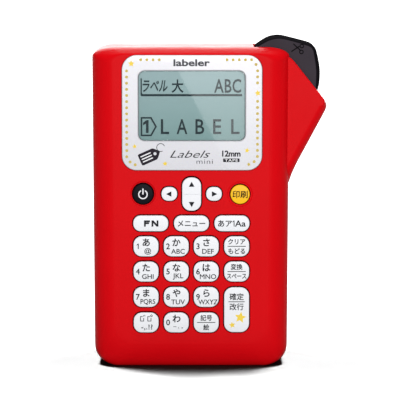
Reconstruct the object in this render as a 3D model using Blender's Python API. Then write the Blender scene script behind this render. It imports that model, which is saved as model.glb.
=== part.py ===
"""Handheld electronic label maker, upright on its base. Metres, +Z up, keypad facing -Y."""
import math

import bmesh
import bpy
from mathutils import Vector

for old in list(bpy.data.objects):
    bpy.data.objects.remove(old)

MM = 0.001
LIFT = 1.4                     # the layout below is measured from 1.4 mm above the base
GAP = 0.4                      # gap round each key, mm

# ---- case, mm -------------------------------------------------------------
Y_FRONT, Y_BACK = -27.0, 27.0
Y_PART = -8.0                  # parting plane between the two case halves
HALF_W_TOP, HALF_W_BOTTOM = 47.45, 46.6
Z_TOP_FRONT, Z_TOP_CROWN = 149.6, 152.3
WALL, FRONT_WALL = 2.0, 2.6
CORNER_R = 9.6
TOP_CORNER = (11.0, 4.6)       # elliptical top corners: across, down
SIDE_PILLOW = (11.0, 11.0)      # rounding from the front into the sides: deep, across
LOW_PILLOW = (5.0, 13.5)       # and into the base
WING_FRONT, WING_BACK = -20.0, 25.4
WING = [(34.0, 149.3), (44.5, 149.3), (49.0, 146.3), (64.5, 126.8), (65.5, 124.9), (65.5, 123.4),
        (64.8, 121.6), (63.0, 118.2), (51.2, 96.2), (48.9, 91.2), (47.1, 86.0), (34.0, 86.0)]
WING_IN = [(32.0, 146.9), (44.0, 146.9), (47.9, 144.6), (61.9, 126.5), (62.8, 124.7), (62.6, 123.2),
           (61.8, 121.6), (60.4, 119.4), (49.0, 97.2), (46.8, 92.6), (44.7, 88.0), (32.0, 88.0)]
LEVER_BAY = [(30.3, 140.0), (30.3, 165.0), (72.0, 165.0), (72.0, 128.9), (54.0, 128.9), (50.0, 140.0)]
LEVER_BAY_Y = (-17.2, 13.2)

# ---- display and keys, mm ---------------------------------------------------
PANEL = (-32.9, 34.1, 93.8, 148.9, 7.0)
WINDOW = (-25.1, 26.1, 107.95, 141.5, 3.2)
KEY_PROUD, KEY_TRAVEL = 1.3, 1.0
COLS = (-21.5, -7.0, 7.4, 22.0)
ROWS = (57.2, 45.0, 32.7, 20.3)
NUM = (12.0, 9.7, 3.9)
KEYS = {                       # name: centre x, centre z, width, height, corner radius
    "key_power": (-22.9, 82.5, 9.8, 9.8, 4.9), "key_left": (-10.3, 82.5, 7.5, 6.6, 2.2),
    "key_right": (11.1, 82.5, 7.5, 6.6, 2.2), "key_up_down": (0.4, 82.4, 9.1, 16.0, 3.6),
    "key_print": (23.6, 82.3, 9.2, 9.2, 4.6), "key_design": (-19.2, 68.3, 16.8, 7.6, 3.3),
    "key_menu": (0.3, 68.3, 16.8, 7.6, 3.3), "key_mode": (19.7, 68.3, 16.8, 7.6, 3.3),
    "key_1": (COLS[0], ROWS[0], *NUM), "key_2": (COLS[1], ROWS[0], *NUM), "key_3": (COLS[2], ROWS[0], *NUM),
    "key_clear": (COLS[3], ROWS[0], *NUM), "key_4": (COLS[0], ROWS[1], *NUM), "key_5": (COLS[1], ROWS[1], *NUM),
    "key_6": (COLS[2], ROWS[1], *NUM), "key_space": (COLS[3], ROWS[1], *NUM), "key_7": (COLS[0], ROWS[2], *NUM),
    "key_8": (COLS[1], ROWS[2], *NUM), "key_9": (COLS[2], ROWS[2], *NUM), "key_punctuation": (COLS[0], ROWS[3], *NUM),
    "key_0": (COLS[1], ROWS[3], *NUM), "key_symbol": (COLS[2], ROWS[3], *NUM),
    "key_enter": (COLS[3], (ROWS[2] + ROWS[3]) / 2, 12.0, 21.8, 4.2),
}

# ---- cutter, print and drive positions (x, z), mm ---------------------------
PIVOT = (35.0, 145.5)
LEVER = [(31.2, 142.2), (31.4, 152.2), (34.6, 154.7), (37.8, 156.4), (41.2, 157.1), (43.9, 157.1), (50.3, 155.5),
         (57.7, 153.6), (59.5, 152.4), (60.3, 151.0), (61.2, 147.4), (62.0, 143.1), (62.2, 139.6), (62.0, 135.2),
         (61.3, 132.0), (59.9, 129.3), (57.3, 129.9), (50.0, 137.5), (41.0, 141.6), (36.0, 141.2)]
LEVER_IN = [(26.0, 136.0), (26.0, 148.8), (32.6, 150.2), (35.8, 152.5), (38.6, 154.1), (41.4, 154.8), (43.8, 154.8),
            (49.8, 153.3), (56.8, 151.4), (57.8, 150.5), (58.3, 149.4), (59.0, 146.7), (59.8, 142.8), (60.0, 139.7),
            (59.8, 135.6), (58.8, 132.6), (57.2, 129.0), (52.0, 120.0)]
LEVER_Y = (-16.6, 12.6)
MODULE, GEAR_Y = 0.8, (-3.4, -0.8)
PLATEN = (34.6, 117.0)
TEETH = {"platen": 12, "tape": 20, "reduction": 30, "ribbon": 20, "pinion": 10}
HOLDER_PIVOT = (38.4, 103.0)
CHASSIS_Y = (2.4, 3.9)
SCREWS = {"case_screw_1": (-40.3, 18.0), "case_screw_2": (40.3, 18.0), "case_screw_3": (-40.9, 91.0), "case_screw_4": (40.9, 91.0)}
OPENING = (-37.6, 37.6, 30.0, 147.0)
COVER_AXIS = (25.95, 31.35)    # y, z
CELL_R, CELL_PITCH, CELL_Y, CELL_Z = 5.2, 11.1, 16.4, (32.2, 76.7)


def place(anchor, teeth_a, teeth_b, angle):
    d = MODULE * (teeth_a + teeth_b) / 2
    return (anchor[0] + d * math.cos(math.radians(angle)), anchor[1] + d * math.sin(math.radians(angle)))


TAPE_GEAR = place(PLATEN, TEETH["platen"], TEETH["tape"], 200.0)
RED_GEAR = place(TAPE_GEAR, TEETH["tape"], TEETH["reduction"], 180.0)
RIB_GEAR = place(RED_GEAR, TEETH["reduction"], TEETH["ribbon"], 60.0)
PINION = place(RED_GEAR, TEETH["reduction"], TEETH["pinion"], 190.0)


def meshed(phase_a, teeth_a, teeth_b, angle):
    """The phase of gear b that puts a gap of b where a tooth of a points, at this centre-line angle."""
    f = ((math.radians(angle) - phase_a) / (2 * math.pi / teeth_a)) % 1.0
    return math.radians(angle) + math.pi + (f + 0.5) * 2 * math.pi / teeth_b


# ---- scene and materials ----------------------------------------------------
parts = bpy.data.collections.new("label_maker")
helpers = bpy.data.collections.new("cutters")
helpers.hide_render = True
for c in (parts, helpers):
    bpy.context.scene.collection.children.link(c)


def material(name, rgb, rough=0.5, metal=0.0, alpha=1.0):
    m = bpy.data.materials.new(name)
    m.use_nodes = True
    b = m.node_tree.nodes["Principled BSDF"]
    b.inputs["Base Color"].default_value = (*rgb, 1)
    b.inputs["Roughness"].default_value = rough
    b.inputs["Metallic"].default_value = metal
    b.inputs["Alpha"].default_value = alpha
    return m


# ---- mesh helpers -----------------------------------------------------------
def loft(rings, closed=False):
    """A solid skinned over rings of equal length, each a list of (x, y, z) in mm."""
    bm = bmesh.new()
    made = [[bm.verts.new((Vector(p) + Vector((0, 0, LIFT))) * MM) for p in r] for r in rings]
    n = len(made[0])
    for a, b in zip(made, made[1:]):
        for i in range(n):
            bm.faces.new((a[i], a[(i + 1) % n], b[(i + 1) % n], b[i]))
    bm.faces.new(list(reversed(made[0])))
    bm.faces.new(made[-1])
    bmesh.ops.recalc_face_normals(bm, faces=bm.faces)
    return bm


def at_y(outline, y):
    return [(x, y, z) for x, z in outline]


def prism(outline, y0, y1):
    return loft([at_y(outline, y0), at_y(outline, y1)])


def box(x0, x1, y0, y1, z0, z1):
    return prism([(x0, z0), (x1, z0), (x1, z1), (x0, z1)], y0, y1)


def circle(c, r, n=16, turn=0.0):
    return [(c[0] + r * math.cos(turn + 2 * math.pi * i / n), c[1] + r * math.sin(turn + 2 * math.pi * i / n)) for i in range(n)]


def rounded(x0, x1, z0, z1, r, n=2):
    r = min(r, (x1 - x0) / 2 - 0.02, (z1 - z0) / 2 - 0.02)
    out = []
    for cx, cz, a in ((x1 - r, z0 + r, -90), (x1 - r, z1 - r, 0), (x0 + r, z1 - r, 90), (x0 + r, z0 + r, 180)):
        for i in range(n + 1):
            t = math.radians(a + 90 * i / n)
            out.append((cx + r * math.cos(t), cz + r * math.sin(t)))
    return out


def turned(c, profile, n=16):
    """A solid of revolution about the Y line through c=(x, z); profile is a list of (radius, y)."""
    return loft([at_y(circle(c, r, n), y) for r, y in profile])


def turned_z(x, y, profile, n=12):
    rings = [[(x + r * math.cos(2 * math.pi * i / n), y + r * math.sin(2 * math.pi * i / n), z) for i in range(n)] for r, z in profile]
    return loft(rings)


def turned_x(y, z, profile, n=12):
    rings = [[(x, y + r * math.cos(2 * math.pi * i / n), z + r * math.sin(2 * math.pi * i / n)) for i in range(n)] for r, x in profile]
    return loft(rings)


def joined(*bms):
    """Several closed pieces in one mesh, for use as one cutter."""
    bm = bmesh.new()
    for b in bms:
        tmp = bpy.data.meshes.new("tmp")
        b.to_mesh(tmp)
        bm.from_mesh(tmp)
        bpy.data.meshes.remove(tmp)
        b.free()
    return bm


def make(name, bm, mat, origin=(0.0, 0.0, -LIFT), collection=None):
    at = (Vector(origin) + Vector((0, 0, LIFT))) * MM
    bmesh.ops.translate(bm, verts=bm.verts, vec=-at)
    me = bpy.data.meshes.new(name)
    bm.to_mesh(me)
    bm.free()
    ob = bpy.data.objects.new(name, me)
    ob.location = at
    if mat is not None:
        me.materials.append(mat)
    (collection or parts).objects.link(ob)
    return ob


def boolean(ob, bm, op):
    tool = make(f"{ob.name}.{op.lower()}.{len(ob.modifiers)}", bm, None, collection=helpers)
    tool.hide_render = True
    tool.display_type = "WIRE"
    m = ob.modifiers.new(op.lower(), "BOOLEAN")
    m.object, m.operation, m.solver = tool, op, "EXACT"
    return ob


def cut(ob, *bms):
    return boolean(ob, joined(*bms), "DIFFERENCE")


def add(ob, bm):
    return boolean(ob, bm, "UNION")


# ---- case shapes ------------------------------------------------------------
def pillow(t, depth, inset):
    if t >= depth:
        return 0.0
    k = (depth - t) / depth
    return inset * (1 - math.sqrt(max(0.0, 1 - k * k)))


def case_ring(y, off, y_front, y_back):
    tf, tb = y - y_front, y_back - y
    front = pillow(tf, *SIDE_PILLOW)
    side = front + pillow(tb, 5.0, 3.6) + off
    low = pillow(tf, *LOW_PILLOW) + pillow(tb, 5.0, 3.6) + off - LIFT
    rise = min(1.0, max(0.0, tf / 10.0))
    top = Z_TOP_FRONT + (Z_TOP_CROWN - Z_TOP_FRONT) * math.sin(rise * math.pi / 2) - pillow(tf, 0.8, 0.7) - pillow(tb, 6.0, 5.0) - off
    rb, rx, rz = CORNER_R - off * 0.6, TOP_CORNER[0] - off - 0.4 * front, TOP_CORNER[1] - off * 0.5
    steps = 5
    out = []
    for sx, cz, ax, az, a in ((1, low + rb, rb, rb, -90), (1, top - rz, rx, rz, 0), (-1, top - rz, rx, rz, 90), (-1, low + rb, rb, rb, 180)):
        for i in range(steps + 1):
            t = math.radians(a + 90 * i / steps)
            z = cz + az * math.sin(t)
            half = HALF_W_BOTTOM + (HALF_W_TOP - HALF_W_BOTTOM) * min(1.0, max(0.0, z / 150.0)) - side
            out.append((sx * (half - ax) + ax * math.cos(t), y, z))
    return out


def case_solid(ys, off=0.0, y_front=Y_FRONT, y_back=Y_BACK):
    return loft([case_ring(y, off, y_front, y_back) for y in ys])


def inset(poly, d):
    """The outline moved inward by d, which is one number or one per corner."""
    out = []
    n = len(poly)
    for i in range(n):
        a, b, c = (Vector(poly[j % n]) for j in (i - 1, i, i + 1))
        u, v = (b - a).normalized(), (c - b).normalized()
        nu, nv = Vector((u.y, -u.x)), Vector((v.y, -v.x))
        bis = (nu + nv).normalized()
        di = d[i] if isinstance(d, (list, tuple)) else d
        out.append(tuple(b + bis * di / max(0.4, bis.dot(nu))))
    return out


def wing_ring(t):
    """The wing's outline t mm behind its front: crisp above, widely rounded along its lower edge."""
    crisp, wide = pillow(t, 0.7, 0.6), pillow(t, 6.5, 4.4)
    return inset(WING, [crisp * (1 - k) + wide * k for k in (0, 0, 0, 0, 0.55, 1, 1, 1, 1, 1, 1, 0)])


red = material("case_red", (0.62, 0.012, 0.016), 0.35)
front_case = make("front_case", case_solid([-27.0, -26.9, -26.6, -26.1, -25.3, -24.0, -22.2, -20.2, -18.0, -16.0, Y_PART - 0.15]), red)
add(front_case, loft([at_y(wing_ring(t), WING_FRONT + t) for t in (0.0, 0.25, 0.7, 1.9, 3.8, 6.5)] + [at_y(WING, Y_PART - 0.15)]))
cut(front_case, case_solid([-24.4, -24.15, -23.6, -22.6, -21.0, -19.0, -16.8, -14.8, -13.4, Y_PART + 2.0], WALL, Y_FRONT + FRONT_WALL, Y_BACK))
cut(front_case, prism(WING_IN, WING_FRONT + 2.2, Y_PART + 2.5))
add(front_case, turned(SCREWS["case_screw_1"], [(3.0, -23.0), (3.0, Y_PART - 0.4)], 12))
add(front_case, turned(SCREWS["case_screw_2"], [(3.0, -23.0), (3.0, Y_PART - 0.4)], 12))
add(front_case, turned(SCREWS["case_screw_3"], [(3.0, -23.0), (3.0, Y_PART - 0.4)], 12))
add(front_case, turned(SCREWS["case_screw_4"], [(3.0, -23.0), (3.0, Y_PART - 0.4)], 12))
add(front_case, turned(PIVOT, [(3.0, -25.0), (3.0, -17.4)], 12))


def key_outline(name, grow=0.0, tall=0.0):
    x, z, w, h, r = KEYS[name]
    if name in ("key_power", "key_print"):
        return circle((x, z), r + grow, 16)
    return rounded(x - w / 2 - grow, x + w / 2 + grow, z - h / 2 - grow - tall, z + h / 2 + grow + tall, r + grow)


holes = [prism(key_outline(k, GAP, 0.25 if k == "key_up_down" else 0.0), -29.0, -23.9) for k in KEYS]
cut(front_case, *holes)
cut(front_case, prism(rounded(PANEL[0] - 0.2, PANEL[1] + 0.2, PANEL[2] - 0.2, PANEL[3] + 0.2, PANEL[4] + 0.2, 4), -29.0, -25.65))
cut(front_case, prism(rounded(WINDOW[0] + 0.6, WINDOW[1] - 0.6, WINDOW[2] + 0.6, WINDOW[3] - 0.6, 2.6), -27.0, -23.5))
cut(front_case, prism(LEVER_BAY, LEVER_BAY_Y[0], Y_PART + 3.0))
cut(front_case, *[turned(c, [(1.45, -21.0), (1.45, Y_PART + 1.0)], 12) for c in SCREWS.values()], turned(PIVOT, [(1.7, -21.0), (1.7, -16.0)], 12))

rear_case = make("rear_case", case_solid([Y_PART + 0.15, 6.0, 21.0, 22.5, 24.2, 25.6, 26.5, 27.0]), red)
add(rear_case, loft([at_y(WING, Y_PART + 0.15), at_y(WING, 20.4), at_y(inset(WING, 1.0), 22.9), at_y(inset(WING, 3.0), WING_BACK)]))
cut(rear_case, case_solid([Y_PART - 2.0, 6.0, 20.0, 22.0, 24.0, 25.0], WALL, Y_FRONT + FRONT_WALL, Y_BACK - WALL))
cut(rear_case, loft([at_y(WING_IN, Y_PART - 2.5), at_y(WING_IN, 20.4), at_y(inset(WING_IN, 1.0), 22.6)]))
add(rear_case, box(-46.0, 46.0, 9.0, 10.6, 28.4, 86.0))
add(rear_case, prism([(-36.6, 28.4 + 0.4), (36.6, 28.8), (36.6, 80.4), (-36.6, 80.4)], 9.8, 24.5))
cut(rear_case, prism([(-35.2, 30.2), (35.2, 30.2), (35.2, 79.0), (-35.2, 79.0)], 10.6, 26.0))
for s in SCREWS.values():
    add(rear_case, turned(s, [(3.0, Y_PART + 0.4), (3.0, 25.8)], 12))
cut(rear_case, box(OPENING[0], OPENING[1], 24.6, 29.0, OPENING[2], OPENING[3]))
cut(rear_case, prism(LEVER_BAY, Y_PART - 3.0, LEVER_BAY_Y[1]))
cut(rear_case, box(57.0, 70.0, 6.6, 21.4, 120.3, 122.7))
cut(rear_case, *[turned(c, [(1.5, Y_PART - 1.0), (1.5, 8.0), (2.4, 8.0), (2.4, 29.0)], 12) for c in SCREWS.values()])
cut(rear_case, turned_x(COVER_AXIS[0], COVER_AXIS[1], [(0.64, -39.2), (0.64, -37.0)]), turned_x(COVER_AXIS[0], COVER_AXIS[1], [(0.64, 37.0), (0.64, 39.2)]))

# ---- back cover: its rounded lower edge turns about the hinge line ----------
cy, cz = COVER_AXIS
profile = [(24.9, 146.7), (24.9, cz)] + [(cy - 1.05 * math.cos(math.radians(a)), cz - 1.05 * math.sin(math.radians(a))) for a in (30, 60, 90, 120, 150)] + [(27.0, cz), (27.0, 146.7)]
cover = make("back_cover", loft([[(x, y, z) for y, z in profile] for x in (OPENING[0] + 0.3, OPENING[1] - 0.3)]), material("cover_red", (0.58, 0.012, 0.016), 0.4), (0, cy, cz))
add(cover, turned_x(cy, cz, [(0.55, -38.7), (0.55, 38.7)], 8))
cut(cover, *[box(-9.0 + 0.4 * i, 9.0 - 0.4 * i, 26.5, 28.0, 136.0 - 2.4 * i, 137.2 - 2.4 * i) for i in range(4)])

# ---- display stack ----------------------------------------------------------
panel = make("display_panel", loft([at_y(rounded(PANEL[0] + 0.3, PANEL[1] - 0.3, PANEL[2] + 0.3, PANEL[3] - 0.3, PANEL[4] - 0.3, 4), -27.3),
                                    at_y(rounded(*PANEL, 4), -27.0), at_y(rounded(*PANEL, 4), -25.85)]), material("panel_silver", (0.78, 0.79, 0.82), 0.3))
cut(panel, prism(rounded(*WINDOW, 3), -28.0, -25.0))
lens = make("display_lens", prism(rounded(WINDOW[0] + 0.2, WINDOW[1] - 0.2, WINDOW[2] + 0.2, WINDOW[3] - 0.2, 3.0, 3), -27.05, -25.9), material("clear_lens", (0.6, 0.72, 0.72), 0.05, 0, 0.4))
lcd = make("lcd_module", prism(rounded(-28.6, 29.6, 104.6, 144.4, 1.0, 1), -24.1, -20.9), material("lcd_green", (0.3, 0.42, 0.4), 0.3))
add(lcd, prism(rounded(WINDOW[0] + 1.0, WINDOW[1] - 1.0, WINDOW[2] + 1.0, WINDOW[3] - 1.0, 2.2), -25.3, -23.8))
mat_sheet = make("keypad_mat", prism(rounded(-36.4, 36.4, 9.6, 93.0, 3.0), -21.7, -20.7), material("mat_rubber", (0.5, 0.5, 0.48), 0.8))
add(mat_sheet, joined(*[turned((k[0], k[1]), [(3.0, -21.2), (2.4, -21.95)], 8) for k in KEYS.values()]))
board = make("main_board", prism([(-36.6, 12.0), (36.6, 12.0), (36.6, 100.0), (30.0, 103.0), (30.0, 140.0), (-36.6, 140.0)], -20.0, -18.4), material("board_green", (0.03, 0.2, 0.08), 0.4))

# ---- keys -------------------------------------------------------------------
key_white = material("key_white", (0.83, 0.83, 0.86), 0.4)
for name, (x, z, w, h, r) in KEYS.items():
    mat_key = {"key_power": material("key_black", (0.02, 0.015, 0.02), 0.4), "key_print": material("key_yellow", (0.8, 0.55, 0.02), 0.4)}.get(name)
    mat_key = mat_key or material(f"{name}_white", (0.83, 0.83, 0.86), 0.4)
    f0, f1 = (-23.4, -22.8) if name == "key_up_down" else (-24.15, -23.15)
    rings = [at_y(key_outline(name, 0.9), f1), at_y(key_outline(name, 0.9), f0), at_y(key_outline(name), f0),
             at_y(key_outline(name), Y_FRONT - KEY_PROUD + 0.4), at_y(key_outline(name, -0.55), Y_FRONT - KEY_PROUD)]
    make(name, loft(rings), mat_key, (x, -23.1 if name == "key_up_down" else -25.0, z))
bpy.data.materials.remove(key_white)

# ---- cutter -----------------------------------------------------------------
lever = make("cutter_lever", prism(LEVER, *LEVER_Y), material("lever_grey", (0.05, 0.045, 0.055), 0.5), (PIVOT[0], 0, PIVOT[1]))
cut(lever, prism(LEVER_IN, LEVER_Y[0] + 2.2, LEVER_Y[1] + 1.0))
add(lever, turned(PIVOT, [(3.2, LEVER_Y[0] + 0.2), (3.2, -4.0)], 16))
add(lever, box(49.5, 54.5, 6.6, 12.2, 134.6, 153.6))
cut(lever, turned(PIVOT, [(1.58, -18.0), (1.58, -3.0)], 16))
make("lever_pivot_pin", turned(PIVOT, [(1.5, -20.6), (1.5, 3.6)], 16), material("pin_steel", (0.5, 0.5, 0.52), 0.3, 1))
make("moving_blade", prism([(50.75, 134.2), (50.75, 123.0), (51.6, 123.9), (51.6, 134.2)], 7.0, 21.0), material("blade_steel", (0.6, 0.6, 0.62), 0.25, 1))
make("fixed_blade", prism([(51.95, 112.0), (52.75, 112.0), (52.75, 120.0), (51.95, 120.8)], 6.8, 21.2), material("anvil_steel", (0.55, 0.55, 0.58), 0.25, 1))
curve = bpy.data.curves.new("lever_spring", "CURVE")
curve.dimensions, curve.bevel_depth, curve.bevel_resolution, curve.use_fill_caps = "3D", 0.35 * MM, 1, True
steps, turns = 12, 3
path = [(PIVOT[0] - 0.5, -5.2, PIVOT[1] - 7.0)]
path += [(PIVOT[0] - 4.1 * math.cos(2 * math.pi * i / steps), -5.2 - 1.2 * i / steps, PIVOT[1] + 4.1 * math.sin(2 * math.pi * i / steps)) for i in range(steps * turns + 1)]
path += [(PIVOT[0] - 5.0, -5.2 - 1.2 * turns, PIVOT[1] - 6.6)]
path[0] = (PIVOT[0] - 4.1, -5.2, PIVOT[1] - 6.8)
spline = curve.splines.new("POLY")
spline.points.add(len(path) - 1)
for p, q in zip(spline.points, path):
    p.co = (q[0] * MM, q[1] * MM, (q[2] + LIFT) * MM, 1)
curve.materials.append(material("spring_steel", (0.5, 0.5, 0.5), 0.3, 1))
parts.objects.link(bpy.data.objects.new("lever_spring", curve))

# ---- print unit -------------------------------------------------------------
make("print_head", prism([(33.0, 122.2), (36.0, 122.2), (36.0, 133.0), (33.4, 133.0), (33.0, 132.0)], 8.0, 20.0), material("head_ceramic", (0.75, 0.72, 0.66), 0.3))
make("head_heat_sink", prism([(36.3, 122.6), (40.0, 122.6), (40.0, 124.0), (37.8, 124.0), (37.8, 138.0), (36.3, 138.0)], 4.3, 20.0), material("sink_alu", (0.7, 0.7, 0.72), 0.35, 1))


def gear_outline(c, teeth, phase):
    r = MODULE * teeth / 2
    out = []
    for i in range(teeth):
        mid = phase + 2 * math.pi * i / teeth
        p = 2 * math.pi / teeth
        for f, rad in ((-0.29, r - 1.15 * MODULE), (-0.10, r + 0.9 * MODULE), (0.10, r + 0.9 * MODULE), (0.29, r - 1.15 * MODULE)):
            out.append((c[0] + rad * math.cos(mid + f * p), c[1] + rad * math.sin(mid + f * p)))
    return out


ph_red = 0.0
ph_tape = meshed(ph_red, TEETH["reduction"], TEETH["tape"], 0.0)
ph_ribbon = meshed(ph_red, TEETH["reduction"], TEETH["ribbon"], 60.0)
ph_pinion = meshed(ph_red, TEETH["reduction"], TEETH["pinion"], 190.0)
ph_platen = meshed(ph_tape, TEETH["tape"], TEETH["platen"], 20.0)
platen = make("platen_roller", turned(PLATEN, [(1.0, -4.2), (1.0, 8.0), (3.8, 8.0), (3.8, 20.0), (1.0, 20.0), (1.0, 23.0)], 24), material("roller_rubber", (0.04, 0.04, 0.045), 0.8), (PLATEN[0], 0, PLATEN[1]))
add(platen, prism(gear_outline(PLATEN, TEETH["platen"], ph_platen), *GEAR_Y))
holder = make("roller_holder", loft([at_y([(HOLDER_PIVOT[0] - 3.2, 101.5), (HOLDER_PIVOT[0], 99.8), (HOLDER_PIVOT[0] + 3.2, 101.5), (HOLDER_PIVOT[0] + 3.0, 106.0), (PLATEN[0] + 2.7, 117.6),
                                           (PLATEN[0] + 1.4, 119.4), (PLATEN[0] - 1.4, 119.4), (PLATEN[0] - 2.5, 117.6), (PLATEN[0] - 2.3, 112.0), (HOLDER_PIVOT[0] - 3.4, 106.0)], y) for y in (5.4, 22.6)]),
              material("holder_black", (0.06, 0.06, 0.07), 0.5), (HOLDER_PIVOT[0], 0, HOLDER_PIVOT[1]))
cut(holder, box(28.0, 46.0, 7.4, 20.7, 107.6, 125.0))
cut(holder, turned(PLATEN, [(1.08, 4.0), (1.08, 24.0)], 24), turned(HOLDER_PIVOT, [(1.49, 4.0), (1.49, 24.0)], 12))

# ---- chassis and drive ------------------------------------------------------
chassis = make("mechanism_chassis", prism([(-36.0, 88.4), (36.0, 88.4), (36.0, 95.2), (44.0, 96.6), (54.2, 113.6), (54.2, 119.2), (49.0, 119.2), (46.0, 126.0), (46.0, 136.0), (39.4, 141.0),
                                           (39.4, 148.2), (31.0, 148.2), (31.0, 146.0), (-36.0, 146.0)], *CHASSIS_Y), material("chassis_grey", (0.3, 0.31, 0.33), 0.45, 0.6))
add(chassis, turned(TAPE_GEAR, [(1.3, 3.0), (1.3, -4.2)], 12))
add(chassis, turned(RED_GEAR, [(1.3, 3.0), (1.3, -4.2)], 12))
add(chassis, turned(HOLDER_PIVOT, [(1.4, 3.0), (1.4, 23.4)], 12))
add(chassis, box(53.1, 54.0, 3.0, 21.4, 113.8, 118.8))
cut(chassis, turned(RIB_GEAR, [(2.0, 0.0), (2.0, 6.0)], 12), turned(PLATEN, [(4.2, 0.0), (4.2, 6.0)], 12), turned(PIVOT, [(1.75, 0.0), (1.75, 6.0)], 12))
motor = make("drive_motor", prism(rounded(PINION[0] - 10, PINION[0] + 10, PINION[1] - 7.5, PINION[1] + 7.5, 4.0), -16.6, -4.6), material("motor_steel", (0.55, 0.55, 0.57), 0.3, 1))
cut(motor, turned(PINION, [(1.09, -10.0), (1.09, -3.0)], 12))
make("motor_pinion", loft([at_y(circle(PINION, 1.0, 8), -8.0), at_y(circle(PINION, 1.0, 8), -3.0)]), material("pinion_brass", (0.7, 0.5, 0.2), 0.3, 1), (PINION[0], 0, PINION[1]))
add(bpy.data.objects["motor_pinion"], prism(gear_outline(PINION, TEETH["pinion"], ph_pinion), *GEAR_Y))
for name, c, teeth, phase in (("reduction_gear", RED_GEAR, "reduction", ph_red), ("tape_drive_gear", TAPE_GEAR, "tape", ph_tape)):
    g = make(name, prism(gear_outline(c, TEETH[teeth], phase), *GEAR_Y), material(f"{name}_white", (0.85, 0.85, 0.82), 0.5), (c[0], 0, c[1]))
    cut(g, turned(c, [(1.39, -5.0), (1.39, 1.0)], 12))
g = make("ribbon_drive_gear", prism(gear_outline(RIB_GEAR, TEETH["ribbon"], ph_ribbon), *GEAR_Y), material("ribbon_gear_black", (0.05, 0.05, 0.05), 0.5), (RIB_GEAR[0], 0, RIB_GEAR[1]))
add(g, loft([at_y(circle(RIB_GEAR, 1.6, 6), -2.0), at_y(circle(RIB_GEAR, 1.6, 6), 17.0)]))

# ---- consumables and power --------------------------------------------------
cassette = make("tape_cassette", prism([(-37.0 + 0.2, 98.4), (24.0, 98.4), (29.6, 104.0), (29.6, 143.8), (-33.8, 143.8), (-36.8, 140.8)], 4.3, 22.3), material("cassette_grey", (0.25, 0.26, 0.28), 0.45))
cut(cassette, turned(RIB_GEAR, [(2.6, 3.0), (2.6, 24.0)], 12), turned((-16.0, 121.0), [(4.6, 3.0), (4.6, 24.0)], 16), box(26.4, 31.0, 7.0, 20.6, 121.0, 122.0))
for i in range(6):
    x = (i - 2.5) * CELL_PITCH
    ends = [(CELL_R, CELL_Z[0]), (CELL_R, CELL_Z[1] - 0.9), (1.9, CELL_Z[1] - 0.9), (1.9, CELL_Z[1])]
    if i % 2:
        ends = [(r, CELL_Z[0] + CELL_Z[1] - z) for r, z in reversed(ends)]
    make(f"battery_{i + 1}", turned_z(x, CELL_Y, ends, 16), material(f"cell_{i + 1}", (0.12, 0.12, 0.13), 0.35, 0.4), (x, CELL_Y, CELL_Z[0]))
make("contact_strip_lower", box(-34.0, 34.0, 11.6, 21.2, 30.5, 31.7), material("contact_lower", (0.6, 0.6, 0.6), 0.3, 1))
make("contact_strip_upper", box(-34.0, 34.0, 11.6, 21.2, 77.3, 78.6), material("contact_upper", (0.6, 0.6, 0.6), 0.3, 1))
for name, c in SCREWS.items():
    make(name, turned(c, [(1.2, -20.0), (1.2, 8.3), (2.1, 8.3), (2.1, 9.8)], 10), material(f"{name}_steel", (0.4, 0.4, 0.42), 0.35, 1))
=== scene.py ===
import math

import bmesh
import bpy
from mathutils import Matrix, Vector
from mathutils.bvhtree import BVHTree


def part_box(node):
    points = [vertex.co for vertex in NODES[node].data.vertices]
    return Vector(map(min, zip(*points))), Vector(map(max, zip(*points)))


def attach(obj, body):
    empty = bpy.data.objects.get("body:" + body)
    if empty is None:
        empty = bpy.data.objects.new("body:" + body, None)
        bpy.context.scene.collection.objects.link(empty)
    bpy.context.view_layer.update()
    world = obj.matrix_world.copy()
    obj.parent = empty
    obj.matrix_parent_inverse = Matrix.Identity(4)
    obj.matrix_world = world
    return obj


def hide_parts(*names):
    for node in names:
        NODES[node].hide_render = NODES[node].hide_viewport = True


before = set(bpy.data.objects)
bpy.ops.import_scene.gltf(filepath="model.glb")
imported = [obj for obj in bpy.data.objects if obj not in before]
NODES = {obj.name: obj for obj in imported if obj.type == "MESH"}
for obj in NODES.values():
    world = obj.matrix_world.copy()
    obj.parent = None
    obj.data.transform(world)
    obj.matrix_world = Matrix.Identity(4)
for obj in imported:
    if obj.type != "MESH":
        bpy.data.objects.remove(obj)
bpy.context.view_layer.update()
MM = 0.001
LIFT = 1.4                     # the layout is measured from 1.4 mm above the base, as in the CAD

# ---- the case's driving sizes, mm, as in the CAD ------------------------------
Y_FRONT, Y_BACK, Y_PART = -27.0, 27.0, -8.0
HALF_W_TOP, HALF_W_BOTTOM = 47.45, 46.6
Z_TOP_FRONT, Z_TOP_CROWN = 149.6, 152.3
WALL, FRONT_WALL = 2.0, 2.6
CORNER_R = 9.6
TOP_CORNER = (11.0, 4.6)
SIDE_PILLOW = (11.0, 11.0)
LOW_PILLOW = (5.0, 13.5)
WING_FRONT, WING_BACK = -20.0, 25.4
WING = [(34.0, 149.3), (44.5, 149.3), (49.0, 146.3), (64.5, 126.8), (65.5, 124.9), (65.5, 123.4),
        (64.8, 121.6), (63.0, 118.2), (51.2, 96.2), (48.9, 91.2), (47.1, 86.0), (34.0, 86.0)]
WING_IN = [(32.0, 146.9), (44.0, 146.9), (47.9, 144.6), (61.9, 126.5), (62.8, 124.7), (62.6, 123.2),
           (61.8, 121.6), (60.4, 119.4), (49.0, 97.2), (46.8, 92.6), (44.7, 88.0), (32.0, 88.0)]
LEVER_BAY = [(30.3, 140.0), (30.3, 165.0), (72.0, 165.0), (72.0, 128.9), (54.0, 128.9), (50.0, 140.0)]
LEVER_BAY_Y = (-17.2, 13.2)
PANEL = (-32.9, 34.1, 93.8, 148.9, 7.0)
WINDOW = (-25.1, 26.1, 107.95, 141.5, 3.2)
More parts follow.
